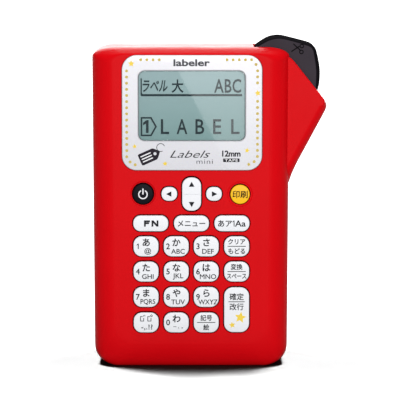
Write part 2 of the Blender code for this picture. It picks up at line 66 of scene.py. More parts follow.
PIVOT = (35.0, 145.5)
LEVER = [(31.2, 142.2), (31.4, 152.2), (34.6, 154.7), (37.8, 156.4), (41.2, 157.1), (43.9, 157.1), (50.3, 155.5),
         (57.7, 153.6), (59.5, 152.4), (60.3, 151.0), (61.2, 147.4), (62.0, 143.1), (62.2, 139.6), (62.0, 135.2),
         (61.3, 132.0), (59.9, 129.3), (57.3, 129.9), (50.0, 137.5), (41.0, 141.6), (36.0, 141.2)]
LEVER_IN = [(26.0, 136.0), (26.0, 148.8), (32.6, 150.2), (35.8, 152.5), (38.6, 154.1), (41.4, 154.8), (43.8, 154.8),
            (49.8, 153.3), (56.8, 151.4), (57.8, 150.5), (58.3, 149.4), (59.0, 146.7), (59.8, 142.8), (60.0, 139.7),
            (59.8, 135.6), (58.8, 132.6), (57.2, 129.0), (52.0, 120.0)]
LEVER_Y = (-16.6, 12.6)
SCREWS = [(-40.3, 18.0), (40.3, 18.0), (-40.9, 91.0), (40.9, 91.0)]
OPENING = (-37.6, 37.6, 30.0, 147.0)
COVER_AXIS = (25.95, 31.35)

col = bpy.data.collections.new("looks")
bpy.context.scene.collection.children.link(col)


# ---- mesh helpers (mm in, metres out) ------------------------------------------
def loft(rings):
    bm = bmesh.new()
    made = [[bm.verts.new((Vector(p) + Vector((0, 0, LIFT))) * MM) for p in r] for r in rings]
    n = len(made[0])
    for a, b in zip(made, made[1:]):
        for i in range(n):
            bm.faces.new((a[i], a[(i + 1) % n], b[(i + 1) % n], b[i]))
    bm.faces.new(list(reversed(made[0])))
    bm.faces.new(made[-1])
    bmesh.ops.recalc_face_normals(bm, faces=bm.faces)
    return bm


def at_y(outline, y):
    return [(x, y, z) for x, z in outline]


def prism(outline, y0, y1):
    return loft([at_y(outline, y0), at_y(outline, y1)])


def box(x0, x1, y0, y1, z0, z1):
    return prism([(x0, z0), (x1, z0), (x1, z1), (x0, z1)], y0, y1)


def circle(c, r, n=48, turn=0.0):
    return [(c[0] + r * math.cos(turn + 2 * math.pi * i / n), c[1] + r * math.sin(turn + 2 * math.pi * i / n)) for i in range(n)]


def rounded(x0, x1, z0, z1, r, n=8):
    r = max(0.02, min(r, (x1 - x0) / 2 - 0.01, (z1 - z0) / 2 - 0.01))
    out = []
    for cx, cz, a in ((x1 - r, z0 + r, -90), (x1 - r, z1 - r, 0), (x0 + r, z1 - r, 90), (x0 + r, z0 + r, 180)):
        for i in range(n + 1):
            t = math.radians(a + 90 * i / n)
            out.append((cx + r * math.cos(t), cz + r * math.sin(t)))
    return out


def turned(c, profile, n=48):
    return loft([at_y(circle(c, r, n), y) for r, y in profile])


def turned_x(y, z, profile, n=24):
    return loft([[(x, y + r * math.cos(2 * math.pi * i / n), z + r * math.sin(2 * math.pi * i / n)) for i in range(n)] for r, x in profile])


def turned_z(x, y, profile, n=48):
    return loft([[(x + r * math.cos(2 * math.pi * i / n), y + r * math.sin(2 * math.pi * i / n), z) for i in range(n)] for r, z in profile])


def inset(poly, d):
    """The outline moved inward by d, which may be one number or one per corner."""
    out = []
    n = len(poly)
    for i in range(n):
        a, b, c = (Vector(poly[j % n]) for j in (i - 1, i, i + 1))
        u, v = (b - a).normalized(), (c - b).normalized()
        nu, nv = Vector((u.y, -u.x)), Vector((v.y, -v.x))
        bis = (nu + nv).normalized()
        di = d[i] if isinstance(d, (list, tuple)) else d
        out.append(tuple(b + bis * di / max(0.4, bis.dot(nu))))
    return out


def softened(poly, r, n=4, keep=()):
    """The outline with each corner rounded to about r, apart from those in keep."""
    out = []
    m = len(poly)
    for i in range(m):
        a, b, c = (Vector(poly[j % m]) for j in (i - 1, i, i + 1))
        if i in keep:
            out.append(tuple(b))
            continue
        d = min(r, (a - b).length * 0.45, (c - b).length * 0.45)
        p, q = b + (a - b).normalized() * d, b + (c - b).normalized() * d
        for k in range(n + 1):
            t = k / n
            out.append(tuple((1 - t) ** 2 * p + 2 * t * (1 - t) * b + t * t * q))
    return out


def joined(bms):
    bm = bmesh.new()
    for b in bms:
        tmp = bpy.data.meshes.new("tmp")
        b.to_mesh(tmp)
        bm.from_mesh(tmp)
        bpy.data.meshes.remove(tmp)
        b.free()
    return bm


def make(name, bm, mat=None, body=None, angle=32.0, weighted=True):
    me = bpy.data.meshes.new(name)
    bm.to_mesh(me)
    bm.free()
    ob = bpy.data.objects.new(name, me)
    col.objects.link(ob)
    if mat is not None:
        me.materials.append(mat)
    if body is not None:
        finish_mesh(ob, angle, weighted)
        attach(ob, body)
    return ob


def finish_mesh(ob, angle=32.0, weighted=True):
    for p in ob.data.polygons:
        p.use_smooth = True
    ob.data.set_sharp_from_angle(angle=math.radians(angle))
    if weighted:
        w = ob.modifiers.new("normals", "WEIGHTED_NORMAL")
        w.keep_sharp, w.weight = True, 80


def boolean(ob, bm, op):
    tool = make(f"{ob.name}.tool", bm)
    m = ob.modifiers.new(op.lower(), "BOOLEAN")
    m.object, m.operation, m.solver = tool, op, "EXACT"
    dg = bpy.context.evaluated_depsgraph_get()
    me = bpy.data.meshes.new_from_object(ob.evaluated_get(dg), depsgraph=dg)
    ob.modifiers.clear()
    old, ob.data = ob.data, me
    bpy.data.meshes.remove(old)
    old = tool.data
    bpy.data.objects.remove(tool)
    bpy.data.meshes.remove(old)
    return ob


def cut(ob, *bms):
    return boolean(ob, joined(bms), "DIFFERENCE")


def add(ob, bm):
    return boolean(ob, bm, "UNION")


# ---- materials -----------------------------------------------------------------
def tree(name):
    m = bpy.data.materials.new(name)
    m.use_nodes = True
    return m, m.node_tree, m.node_tree.nodes["Principled BSDF"]


def noise(nt, scale, detail=3.0, rough=0.5, coord="Object"):
    t = nt.nodes.new("ShaderNodeTexCoord")
    n = nt.nodes.new("ShaderNodeTexNoise")
    n.inputs["Scale"].default_value = scale
    n.inputs["Detail"].default_value = detail
    n.inputs["Roughness"].default_value = rough
    nt.links.new(t.outputs[coord], n.inputs["Vector"])
    return n.outputs["Fac"]


def ranged(nt, value, lo, hi, a=0.3, b=0.7):
    r = nt.nodes.new("ShaderNodeMapRange")
    r.inputs["From Min"].default_value = a
    r.inputs["From Max"].default_value = b
    r.inputs["To Min"].default_value = lo
    r.inputs["To Max"].default_value = hi
    nt.links.new(value, r.inputs["Value"])
    return r.outputs["Result"]


def blend_rgb(nt, fac, a, b):
    m = nt.nodes.new("ShaderNodeMix")
    m.data_type = "RGBA"
    m.inputs["A"].default_value = (*a, 1)
    m.inputs["B"].default_value = (*b, 1)
    nt.links.new(fac, m.inputs["Factor"])
    return m.outputs["Result"]


def moulded(name, rgb, rough=0.38, grain=2600.0, depth=0.000012, vary=0.05, metal=0.0, coat=0.0, coat_rough=0.08, spec=0.5, strength=0.35):
    """Moulded plastic or a plain part: fine surface grain, slight colour drift and uneven gloss."""
    m, nt, b = tree(name)
    c = blend_rgb(nt, ranged(nt, noise(nt, 24.0, 4.0), 0, 1), [x * (1 - vary) for x in rgb], [min(1.0, x * (1 + vary)) for x in rgb])
    nt.links.new(c, b.inputs["Base Color"])
    nt.links.new(ranged(nt, noise(nt, 70.0, 5.0), rough - 0.035, rough + 0.05), b.inputs["Roughness"])
    bump = nt.nodes.new("ShaderNodeBump")
    bump.inputs["Strength"].default_value = strength
    bump.inputs["Distance"].default_value = depth
    nt.links.new(noise(nt, grain, 2.0, 0.6), bump.inputs["Height"])
    nt.links.new(bump.outputs["Normal"], b.inputs["Normal"])
    b.inputs["Metallic"].default_value = metal
    b.inputs["Specular IOR Level"].default_value = spec
    b.inputs["Coat Weight"].default_value = coat
    b.inputs["Coat Roughness"].default_value = coat_rough
    return m


def ink(name, rgb, rough=0.45):
    return moulded(name, rgb, rough, 4200.0, 0.000004, 0.08, spec=0.06)


def brushed(name, rgb, rough=0.28, axis=(1, 1, 40), metal=1.0):
    m, nt, b = tree(name)
    t = nt.nodes.new("ShaderNodeTexCoord")
    mp = nt.nodes.new("ShaderNodeMapping")
    mp.inputs["Scale"].default_value = axis
    n = nt.nodes.new("ShaderNodeTexNoise")
    n.inputs["Scale"].default_value = 90.0
    n.inputs["Detail"].default_value = 5.0
    nt.links.new(t.outputs["Object"], mp.inputs["Vector"])
    nt.links.new(mp.outputs["Vector"], n.inputs["Vector"])
    nt.links.new(ranged(nt, n.outputs["Fac"], rough - 0.08, rough + 0.12), b.inputs["Roughness"])
    nt.links.new(blend_rgb(nt, ranged(nt, n.outputs["Fac"], 0, 1), [x * 0.86 for x in rgb], rgb), b.inputs["Base Color"])
    bump = nt.nodes.new("ShaderNodeBump")
    bump.inputs["Strength"].default_value = 0.25
    bump.inputs["Distance"].default_value = 0.00001
    nt.links.new(n.outputs["Fac"], bump.inputs["Height"])
    nt.links.new(bump.outputs["Normal"], b.inputs["Normal"])
    b.inputs["Metallic"].default_value = metal
    return m


RED = (0.60, 0.0020, 0.005)
mat_case = moulded("red_case_plastic", RED, 0.36, 2400.0, 0.000012, 0.03, spec=0.03)
mat_cover = moulded("red_cover_plastic", (0.60, 0.0025, 0.0055), 0.44, 1800.0, 0.00002, 0.03, spec=0.05)
mat_key = moulded("key_white_plastic", (0.80, 0.81, 0.84), 0.34, 3200.0, 0.000008, 0.015, spec=0.2)
mat_key_black = moulded("key_black_plastic", (0.004, 0.004, 0.007), 0.4, 3200.0, 0.000008, 0.1, spec=0.05)
mat_key_yellow = moulded("key_yellow_plastic", (0.90, 0.50, 0.008), 0.34, 3200.0, 0.000008, 0.04, spec=0.15)
# Near-black key skirt: painted shade, so the gap round each key reads dark.
mat_skirt_painted_shade = moulded("key_skirt_painted_shade", (0.02, 0.002, 0.003), 0.6, 2000.0, 0.00001, 0.1, spec=0.05)
mat_lever = moulded("lever_dark_plastic", (0.034, 0.027, 0.036), 0.5, 1500.0, 0.00003, 0.1, spec=0.08, strength=0.6)
mat_ink = ink("legend_ink", (0.012, 0.012, 0.016))
mat_ink_grey = ink("grey_ink", (0.07, 0.07, 0.08))
mat_ink_white = ink("white_ink", (0.8, 0.8, 0.82))
mat_gold = ink("gold_ink", (0.56, 0.43, 0.12), 0.45)
mat_star = ink("star_ink", (0.82, 0.60, 0.08), 0.35)
mat_lcd_ink = moulded("lcd_segment", (0.003, 0.022, 0.028), 0.6, 4200.0, 0.000001, 0.05, spec=0.0)


def panel_paint():
    """Silver-white paint under a clear coat with fine metal flake; its colour brightens towards the top of the panel,
    which is painted light.
    """
    m, nt, b = tree("panel_silver_paint")
    t = nt.nodes.new("ShaderNodeTexCoord")
    sep = nt.nodes.new("ShaderNodeSeparateXYZ")
    nt.links.new(t.outputs["Object"], sep.inputs["Vector"])
    # Painted light: the colour brightens towards the top of the panel.
    painted_light_fac = ranged(nt, sep.outputs["Z"], 0.0, 1.0, 0.095, 0.150)
    c = blend_rgb(nt, painted_light_fac, (0.53, 0.53, 0.56), (0.61, 0.605, 0.635))
    flake = nt.nodes.new("ShaderNodeTexVoronoi")
    flake.inputs["Scale"].default_value = 5200.0
    nt.links.new(t.outputs["Object"], flake.inputs["Vector"])
    mx = nt.nodes.new("ShaderNodeMix")
    mx.data_type, mx.blend_type = "RGBA", "MULTIPLY"
    mx.inputs["Factor"].default_value = 0.10
    nt.links.new(c, mx.inputs["A"])
    nt.links.new(flake.outputs["Color"], mx.inputs["B"])
    nt.links.new(mx.outputs["Result"], b.inputs["Base Color"])
    nt.links.new(ranged(nt, flake.outputs["Distance"], 0.26, 0.36, 0.0, 0.6), b.inputs["Roughness"])
    b.inputs["Metallic"].default_value = 0.15
    b.inputs["Specular IOR Level"].default_value = 0.15
    b.inputs["Coat Weight"].default_value = 0.6
    b.inputs["Coat Roughness"].default_value = 0.02
    return m


def lcd_glass():
    m, nt, b = tree("lcd_reflective")
    t = nt.nodes.new("ShaderNodeTexCoord")
    sep = nt.nodes.new("ShaderNodeSeparateXYZ")
    nt.links.new(t.outputs["Object"], sep.inputs["Vector"])
    # Painted light: the LCD colour brightens towards the top of the window.
    painted_light_fac = ranged(nt, sep.outputs["Z"], 0.0, 1.0, 0.109, 0.143)
    c = blend_rgb(nt, painted_light_fac, (0.215, 0.36, 0.355), (0.36, 0.495, 0.51))
    mx = nt.nodes.new("ShaderNodeMix")
    mx.data_type, mx.blend_type = "RGBA", "MULTIPLY"
    mx.inputs["Factor"].default_value = 0.06
    grid = nt.nodes.new("ShaderNodeTexChecker")
    grid.inputs["Scale"].default_value = 2200.0
    grid.inputs["Color1"].default_value = (1, 1, 1, 1)
    grid.inputs["Color2"].default_value = (0.55, 0.6, 0.6, 1)
    nt.links.new(t.outputs["Object"], grid.inputs["Vector"])
    nt.links.new(c, mx.inputs["A"])
    nt.links.new(grid.outputs["Color"], mx.inputs["B"])
    nt.links.new(mx.outputs["Result"], b.inputs["Base Color"])
    nt.links.new(ranged(nt, noise(nt, 500.0), 0.42, 0.5), b.inputs["Roughness"])
    b.inputs["Specular IOR Level"].default_value = 0.05
    return m


def clear_lens():
    m = bpy.data.materials.new("clear_window")
    m.use_nodes = True
    nt = m.node_tree
    nt.nodes.clear()
    out = nt.nodes.new("ShaderNodeOutputMaterial")
    mix = nt.nodes.new("ShaderNodeMixShader")
    tr = nt.nodes.new("ShaderNodeBsdfTransparent")
    gl = nt.nodes.new("ShaderNodeBsdfGlossy")
    fr = nt.nodes.new("ShaderNodeFresnel")
    fr.inputs["IOR"].default_value = 1.49
    tr.inputs["Color"].default_value = (0.985, 0.99, 0.99, 1)
    nt.links.new(ranged(nt, noise(nt, 30.0), 0.012, 0.03), gl.inputs["Roughness"])
    nt.links.new(fr.outputs["Fac"], mix.inputs["Fac"])
    nt.links.new(tr.outputs["BSDF"], mix.inputs[1])
    nt.links.new(gl.outputs["BSDF"], mix.inputs[2])
    nt.links.new(mix.outputs["Shader"], out.inputs["Surface"])
    return m


mat_panel, mat_lcd, mat_lens = panel_paint(), lcd_glass(), clear_lens()
mat_lcd_frame = moulded("lcd_frame_black", (0.02, 0.02, 0.022), 0.5)


# ---- case ----------------------------------------------------------------------
def pillow(t, depth, amount):
    if t >= depth:
        return 0.0
    k = (depth - t) / depth
    return amount * (1 - math.sqrt(max(0.0, 1 - k * k)))


def case_ring(y, off, y_front, y_back, steps):
    tf, tb = y - y_front, y_back - y
    front = pillow(tf, *SIDE_PILLOW)
    side = front + pillow(tb, 5.0, 3.6) + off
    low = pillow(tf, *LOW_PILLOW) + pillow(tb, 5.0, 3.6) + off - LIFT
    rise = min(1.0, max(0.0, tf / 10.0))
    top = Z_TOP_FRONT + (Z_TOP_CROWN - Z_TOP_FRONT) * math.sin(rise * math.pi / 2) - pillow(tf, 0.8, 0.7) - pillow(tb, 6.0, 5.0) - off
    rb, rx, rz = CORNER_R - off * 0.6, TOP_CORNER[0] - off - 0.4 * front, TOP_CORNER[1] - off * 0.5
    out = []
    for sx, cz, ax, az, a in ((1, low + rb, rb, rb, -90), (1, top - rz, rx, rz, 0), (-1, top - rz, rx, rz, 90), (-1, low + rb, rb, rb, 180)):
        for i in range(steps + 1):
            t = math.radians(a + 90 * i / steps)
            z = cz + az * math.sin(t)
            half = HALF_W_BOTTOM + (HALF_W_TOP - HALF_W_BOTTOM) * min(1.0, max(0.0, z / 150.0)) - side
            out.append((sx * (half - ax) + ax * math.cos(t), y, z))
    return out


def case_solid(ys, off=0.0, y_front=Y_FRONT, y_back=Y_BACK, steps=14):
    return loft([case_ring(y, off, y_front, y_back, steps) for y in ys])


def arc(depth, n):
    return [depth * (1 - math.cos(math.pi / 2 * i / n)) for i in range(n + 1)]


front_ts = sorted(set(round(t, 3) for t in arc(0.8, 4) + arc(SIDE_PILLOW[0], 12) + arc(LOW_PILLOW[0], 9) + [10.0, 12.0, 14.0, 16.0]))
back_ts = sorted(set(round(t, 3) for t in arc(5.0, 9) + arc(6.0, 5)))
SEAM = 0.07
WING_HI = softened(WING, 1.6, 4, keep=(0, 11))
# The wing's lower edge is widely rounded at the front, and its upper edge is crisp.
LOWER = (0, 0, 0, 0, 0.55, 1, 1, 1, 1, 1, 1, 0)


def wing_outline(d):
    """The wing's outline moved inward by d, which is one number or one per corner, with its corners eased."""
    return softened(inset(WING, d), 1.6, 4, keep=(0, 11))


def wing_ring(t):
    crisp, wide = pillow(t, 0.7, 0.6), pillow(t, 6.5, 4.4)
    return wing_outline([crisp * (1 - k) + wide * k for k in LOWER])


front = make("case_front", case_solid([Y_FRONT + t for t in front_ts] + [Y_PART - SEAM - 0.25, ], 0.0))
wing_ts = sorted(set(round(t, 3) for t in arc(0.7, 4) + arc(6.5, 9)))
add(front, loft([at_y(wing_ring(t), WING_FRONT + t) for t in wing_ts] + [at_y(WING_HI, Y_PART - SEAM - 0.25)]))
cut(front, case_solid([-24.4, -24.15, -23.6, -22.6, -21.0, -19.0, -16.8, -14.8, -13.4, Y_PART + 2.0], WALL, Y_FRONT + FRONT_WALL, Y_BACK, 8))
cut(front, prism(WING_IN, WING_FRONT + 2.2, Y_PART + 2.5))
for s in SCREWS:
    add(front, turned(s, [(3.0, -23.0), (3.0, Y_PART - 0.4)], 32))
add(front, turned(PIVOT, [(3.0, -25.0), (3.0, -17.4)], 32))

KEYS = {}
for k in [n for n in NODES if n.startswith("key_")]:
    lo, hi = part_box(k)
    x0, x1, z0, z1 = lo.x / MM + 0.9, hi.x / MM - 0.9, lo.z / MM + 0.9 - LIFT, hi.z / MM - 0.9 - LIFT
    w, h = x1 - x0, z1 - z0
    r = {"key_power": w / 2, "key_print": w / 2, "key_left": 3.05, "key_right": 3.05, "key_up_down": 4.1, "key_enter": 4.2}.get(k, 3.5 if w > 15 else 3.9)
    KEYS[k] = (x0, x1, z0, z1, r)
KEY_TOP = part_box("key_1")[0].y / MM


def key_outline(k, grow=0.0, tall=0.0, n=8):
    x0, x1, z0, z1, r = KEYS[k]
    if k in ("key_power", "key_print"):
        return circle(((x0 + x1) / 2, (z0 + z1) / 2), (x1 - x0) / 2 + grow, 48)
    return rounded(x0 - grow, x1 + grow, z0 - grow - tall, z1 + grow + tall, r + grow, n)


def key_hole(k):
    tall = 0.2 if k == "key_up_down" else 0.0
    rings = [at_y(key_outline(k, 0.5, tall), -23.5), at_y(key_outline(k, 0.5, tall), -26.8), at_y(key_outline(k, 0.54, tall), -26.93),
             at_y(key_outline(k, 0.66, tall), -27.02), at_y(key_outline(k, 0.66, tall), -29.0)]
    return loft(rings)


for k in ("key_power", "key_print"):
    x0, x1, z0, z1, r = KEYS[k]
    c = ((x0 + x1) / 2, (z0 + z1) / 2)
    cut(front, turned(c, [(5.55, -26.62), (5.75, -26.68), (6.05, -26.9), (6.25, -27.03), (6.3, -28.5)], 64))
cut(front, *[key_hole(k) for k in KEYS])
P = PANEL
cut(front, loft([at_y(rounded(P[0] - 0.24, P[1] + 0.24, P[2] - 0.24, P[3] + 0.16, P[4] + 0.24, 12), -25.65), at_y(rounded(P[0] - 0.24, P[1] + 0.24, P[2] - 0.24, P[3] + 0.16, P[4] + 0.24, 12), -26.9),
                 at_y(rounded(P[0] - 0.34, P[1] + 0.34, P[2] - 0.34, P[3] + 0.2, P[4] + 0.34, 12), -27.03), at_y(rounded(P[0] - 0.34, P[1] + 0.34, P[2] - 0.34, P[3] + 0.2, P[4] + 0.34, 12), -29.0)]))
W = WINDOW
cut(front, prism(rounded(W[0] - 0.4, W[1] + 0.4, W[2] - 0.4, W[3] + 0.4, 3.4), -27.0, -23.5))
cut(front, prism(LEVER_BAY, LEVER_BAY_Y[0], Y_PART + 3.0))
cut(front, *[turned(c, [(1.45, -21.0), (1.45, Y_PART + 1.0)], 24) for c in SCREWS], turned(PIVOT, [(1.7, -21.0), (1.7, -16.0)], 24))
front.data.materials.clear()
front.data.materials.append(mat_case)
finish_mesh(front, 34.0)
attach(front, "case")
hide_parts("front_case")

rear = make("case_rear", case_solid([Y_PART + SEAM, Y_PART + SEAM + 0.25, 0.0, 8.0, 15.0] + [Y_BACK - t for t in reversed(back_ts)]))
back_wing = [(0.0, Y_PART + SEAM), (0.0, 19.4)] + [(3.4 * (1 - math.cos(a)), 19.4 + 5.8 * math.sin(a)) for a in (math.pi / 2 * i / 8 for i in range(1, 9))]
add(rear, loft([at_y(wing_outline(d), y) for d, y in back_wing]))
cut(rear, case_solid([Y_PART - 2.0, 6.0, 20.0, 21.0, 22.0, 23.0, 24.0, 24.6, 25.0], WALL, Y_FRONT + FRONT_WALL, Y_BACK - WALL, 8))
cut(rear, loft([at_y(WING_IN, Y_PART - 2.5), at_y(WING_IN, 20.4), at_y(inset(WING_IN, 1.0), 22.6)]))
add(rear, box(-46.0, 46.0, 9.0, 10.6, 28.4, 86.0))
add(rear, prism([(-36.6, 28.8), (36.6, 28.8), (36.6, 80.4), (-36.6, 80.4)], 9.8, 24.5))
cut(rear, prism(rounded(-35.2, 35.2, 30.2, 79.0, 1.5, 6), 10.6, 26.0))
for s in SCREWS:
    add(rear, turned(s, [(3.0, Y_PART + 0.4), (3.0, 25.8)], 32))
cut(rear, loft([at_y(rounded(OPENING[0], OPENING[1], OPENING[2], OPENING[3], 0.6, 4), 24.6), at_y(rounded(OPENING[0], OPENING[1], OPENING[2], OPENING[3], 0.6, 4), 26.85),
                at_y(rounded(OPENING[0] - 0.2, OPENING[1] + 0.2, OPENING[2] - 0.2, OPENING[3] + 0.2, 0.8, 4), 27.03), at_y(rounded(OPENING[0] - 0.2, OPENING[1] + 0.2, OPENING[2] - 0.2, OPENING[3] + 0.2, 0.8, 4), 29.0)]))
cut(rear, prism(LEVER_BAY, Y_PART - 3.0, LEVER_BAY_Y[1]))
cut(rear, box(57.0, 70.0, 6.6, 21.4, 120.3, 122.7))
cut(rear, *[turned(c, [(1.5, Y_PART - 1.0), (1.5, 8.0), (2.4, 8.0), (2.4, 26.7), (2.65, 27.02), (2.65, 29.0)], 32) for c in SCREWS])
cut(rear, turned_x(COVER_AXIS[0], COVER_AXIS[1], [(0.64, -39.2), (0.64, -37.0)]), turned_x(COVER_AXIS[0], COVER_AXIS[1], [(0.64, 37.0), (0.64, 39.2)]))
rear.data.materials.clear()
rear.data.materials.append(mat_case)
finish_mesh(rear, 34.0)
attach(rear, "case")
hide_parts("rear_case")

# ---- display -------------------------------------------------------------------
def plate(outline_at, y_back, y_face, edge, n=5):
    """A plate with a rounded front edge; outline_at(d) is its outline inset by d."""
    rings = [at_y(outline_at(0.0), y_back)]
    for i in range(n + 1):
        a = math.pi / 2 * i / n
        rings.append(at_y(outline_at(edge * (1 - math.cos(a))), y_face + edge * (1 - math.sin(a))))
    return loft(rings)


panel = make("display_face", plate(lambda d: rounded(P[0] + d, P[1] - d, P[2] + d, P[3] - d, P[4] - d, 14), -25.85, -27.3, 0.35))
cut(panel, loft([at_y(rounded(W[0], W[1], W[2], W[3], W[4], 12), -25.0), at_y(rounded(W[0], W[1], W[2], W[3], W[4], 12), -27.0),
                 at_y(rounded(W[0] - 0.45, W[1] + 0.45, W[2] - 0.45, W[3] + 0.45, W[4] + 0.45, 12), -27.31), at_y(rounded(W[0] - 0.45, W[1] + 0.45, W[2] - 0.45, W[3] + 0.45, W[4] + 0.45, 12), -28.5)]))
panel.data.materials.clear()
panel.data.materials.append(mat_panel)
finish_mesh(panel, 34.0)
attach(panel, "case")
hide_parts("display_panel")

lens = make("display_window", plate(lambda d: rounded(W[0] + 0.15 + d, W[1] - 0.15 - d, W[2] + 0.15 + d, W[3] - 0.15 - d, W[4] - d, 12), -25.9, -26.95, 0.2, 3), mat_lens, "case")
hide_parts("display_lens")

lcd_lo, lcd_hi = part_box("lcd_module")
lx0, lx1, lz0, lz1 = lcd_lo.x / MM, lcd_hi.x / MM, lcd_lo.z / MM - LIFT, lcd_hi.z / MM - LIFT
ly0, ly1 = lcd_lo.y / MM, lcd_hi.y / MM
ly_face = -25.3
lcd = make("lcd_glass", plate(lambda d: rounded(W[0] + 0.1 + d, W[1] - 0.1 - d, W[2] + 0.1 + d, W[3] - 0.1 - d, 3.0 - d, 8), -24.05, ly_face, 0.1, 3), mat_lcd, "case")
bezel = make("lcd_carrier", plate(lambda d: rounded(lx0 + d, lx1 - d, lz0 + d, lz1 - d, 0.8, 3), ly1, -24.1, 0.2, 3), mat_lcd_frame, "case")
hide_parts("lcd_module")
LCD_Y = ly_face

# ---- keys ----------------------------------------------------------------------
KEY_BVH = {}


def key_cap(k):
    x0, x1, z0, z1, r = KEYS[k]
    short = min(x1 - x0, z1 - z0) / 2
    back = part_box(k)[1].y / MM
    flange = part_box(k)[1].y / MM - (0.6 if k == "key_up_down" else 1.0)
    edge, crown = 0.42, 0.16
    top = KEY_TOP + crown
    rings = [at_y(key_outline(k, 0.9), back), at_y(key_outline(k, 0.9), flange), at_y(key_outline(k, 0.06), flange), at_y(key_outline(k, 0.01), -26.8), at_y(key_outline(k), -26.7)]
    n = 7
    for i in range(n + 1):
        a = math.pi / 2 * i / n
        rings.append(at_y(key_outline(k, -edge * (1 - math.cos(a))), top + edge * (1 - math.sin(a))))
    for i in range(1, 7):
        s = i / 7
        d = edge + (short - edge - 0.35) * s
        rings.append(at_y(key_outline(k, -d), top - crown * (1 - (1 - s) ** 2)))
    bm = loft(rings)
    return bm


for k in KEYS:
    mat = {"key_power": mat_key_black, "key_print": mat_key_yellow}.get(k, mat_key)
    bm = key_cap(k)
    ob = make(f"{k}_cap", bm, mat)
    if k == "key_up_down":
        x0, x1, z0, z1, r = KEYS[k]
        zc = (z0 + z1) / 2
        cut(ob, loft([[(x0 - 1, KEY_TOP - 0.5, zc - 0.26), (x0 - 1, KEY_TOP + 0.30, zc), (x0 - 1, KEY_TOP - 0.5, zc + 0.26)], [(x1 + 1, KEY_TOP - 0.5, zc - 0.26), (x1 + 1, KEY_TOP + 0.30, zc), (x1 + 1, KEY_TOP - 0.5, zc + 0.26)]]))
        ob.data.materials.clear()
        ob.data.materials.append(mat)
    tmp = bmesh.new()
    tmp.from_mesh(ob.data)
    KEY_BVH[k] = BVHTree.FromBMesh(tmp)
    tmp.free()
    # The skirt faces, deeper than the front face, take the near-black material: painted shade in the key gaps.
    ob.data.materials.append(mat_skirt_painted_shade)
    for p in ob.data.polygons:
        p.material_index = 1 if p.center.y > -26.75 * MM else 0
    finish_mesh(ob, 40.0, False)
    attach(ob, k)
    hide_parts(k)


# ---- printed marks, laid on the surface below them --------------------------------
def text_mesh(body, height, x, z, align="CENTER", spacing=1.0, shear=0.0, fat=0.0, stretch=1.0, font_height=0.69):
    """A flat bmesh of text whose capitals are `height` mm tall, centred at (x, z) mm, in the XZ plane."""
    c = bpy.data.curves.new("t", "FONT")
    c.body, c.size, c.align_x, c.align_y = body, height / font_height, align, "CENTER"
    c.space_character, c.shear, c.offset = spacing, shear, min(fat, 0.0)
    c.resolution_u = 3
    o = bpy.data.objects.new("t", c)
    col.objects.link(o)
    dg = bpy.context.evaluated_depsgraph_get()
    me = bpy.data.meshes.new_from_object(o.evaluated_get(dg), depsgraph=dg)
    bpy.data.objects.remove(o)
    bpy.data.curves.remove(c)
    bm = bmesh.new()
    bm.from_mesh(me)
    bpy.data.meshes.remove(me)
    if fat > 0:
        fatten(bm, fat)
    ys = [v.co.y for v in bm.verts]
    xs = [v.co.x for v in bm.verts]
    mid_y = (min(ys) + max(ys)) / 2
    mid_x = (min(xs) + max(xs)) / 2 if align == "CENTER" else 0.0
    for v in bm.verts:
        v.co = Vector(((x + (v.co.x - mid_x) * stretch) * MM, 0.0, (z + v.co.y - mid_y) * MM))
    return bm


def fatten(bm, d):
    """Widens flat glyphs in the XY plane by a ribbon d wide round every contour."""
    bmesh.ops.remove_doubles(bm, verts=bm.verts, dist=1e-4)
    out = {}
    edges = [e for e in bm.edges if len(e.link_faces) == 1 and e.calc_length() > 1e-5]
    for e in edges:
        a, b = e.verts
        n = Vector((b.co.y - a.co.y, a.co.x - b.co.x, 0)).normalized()
        if (e.link_faces[0].calc_center_median() - a.co).dot(n) > 0:
            n = -n
        for v in (a, b):
            out.setdefault(v, []).append(n)
    new = {}
    for v, ns in out.items():
        m = sum(ns, Vector()).normalized() if sum(ns, Vector()).length > 1e-6 else ns[0]
        new[v] = bm.verts.new(v.co + m * d / max(0.5, m.dot(ns[0])))
    for e in edges:
        a, b = e.verts
        try:
            bm.faces.new((a, b, new[b], new[a]))
        except ValueError:
            pass


def flat(outlines):
    bm = bmesh.new()
    for o in outlines:
        bm.faces.new([bm.verts.new((x * MM, 0, z * MM)) for x, z in o])
    return bm


def ring_flat(c, r0, r1, a0=0.0, a1=360.0, n=40):
    """A flat band between two radii; angles from +X, counter-clockwise seen from the front."""
    bm = bmesh.new()
    full = abs(a1 - a0) >= 359.9
    m = n if full else n + 1
    pts = [math.radians(a0 + (a1 - a0) * i / n) for i in range(m)]
    ins = [bm.verts.new(((c[0] + r0 * math.cos(t)) * MM, 0, (c[1] + r0 * math.sin(t)) * MM)) for t in pts]
    outs = [bm.verts.new(((c[0] + r1 * math.cos(t)) * MM, 0, (c[1] + r1 * math.sin(t)) * MM)) for t in pts]
    for i in range(m if full else m - 1):
        j = (i + 1) % m
        bm.faces.new((ins[i], outs[i], outs[j], ins[j]))
    return bm


def bar(x0, z0, x1, z1, w):
    d = Vector((x1 - x0, z1 - z0)).normalized()
    s = Vector((-d.y, d.x)) * w / 2
    return [(x0 + s.x, z0 + s.y), (x0 - s.x, z0 - s.y), (x1 - s.x, z1 - s.y), (x1 + s.x, z1 + s.y)]


def star(c, r, inner=0.42, turn=90.0, points=5):
    return [(c[0] + (r if i % 2 == 0 else r * inner) * math.cos(math.radians(turn + 180 / points * i)), c[1] + (r if i % 2 == 0 else r * inner) * math.sin(math.radians(turn + 180 / points * i))) for i in range(2 * points)]


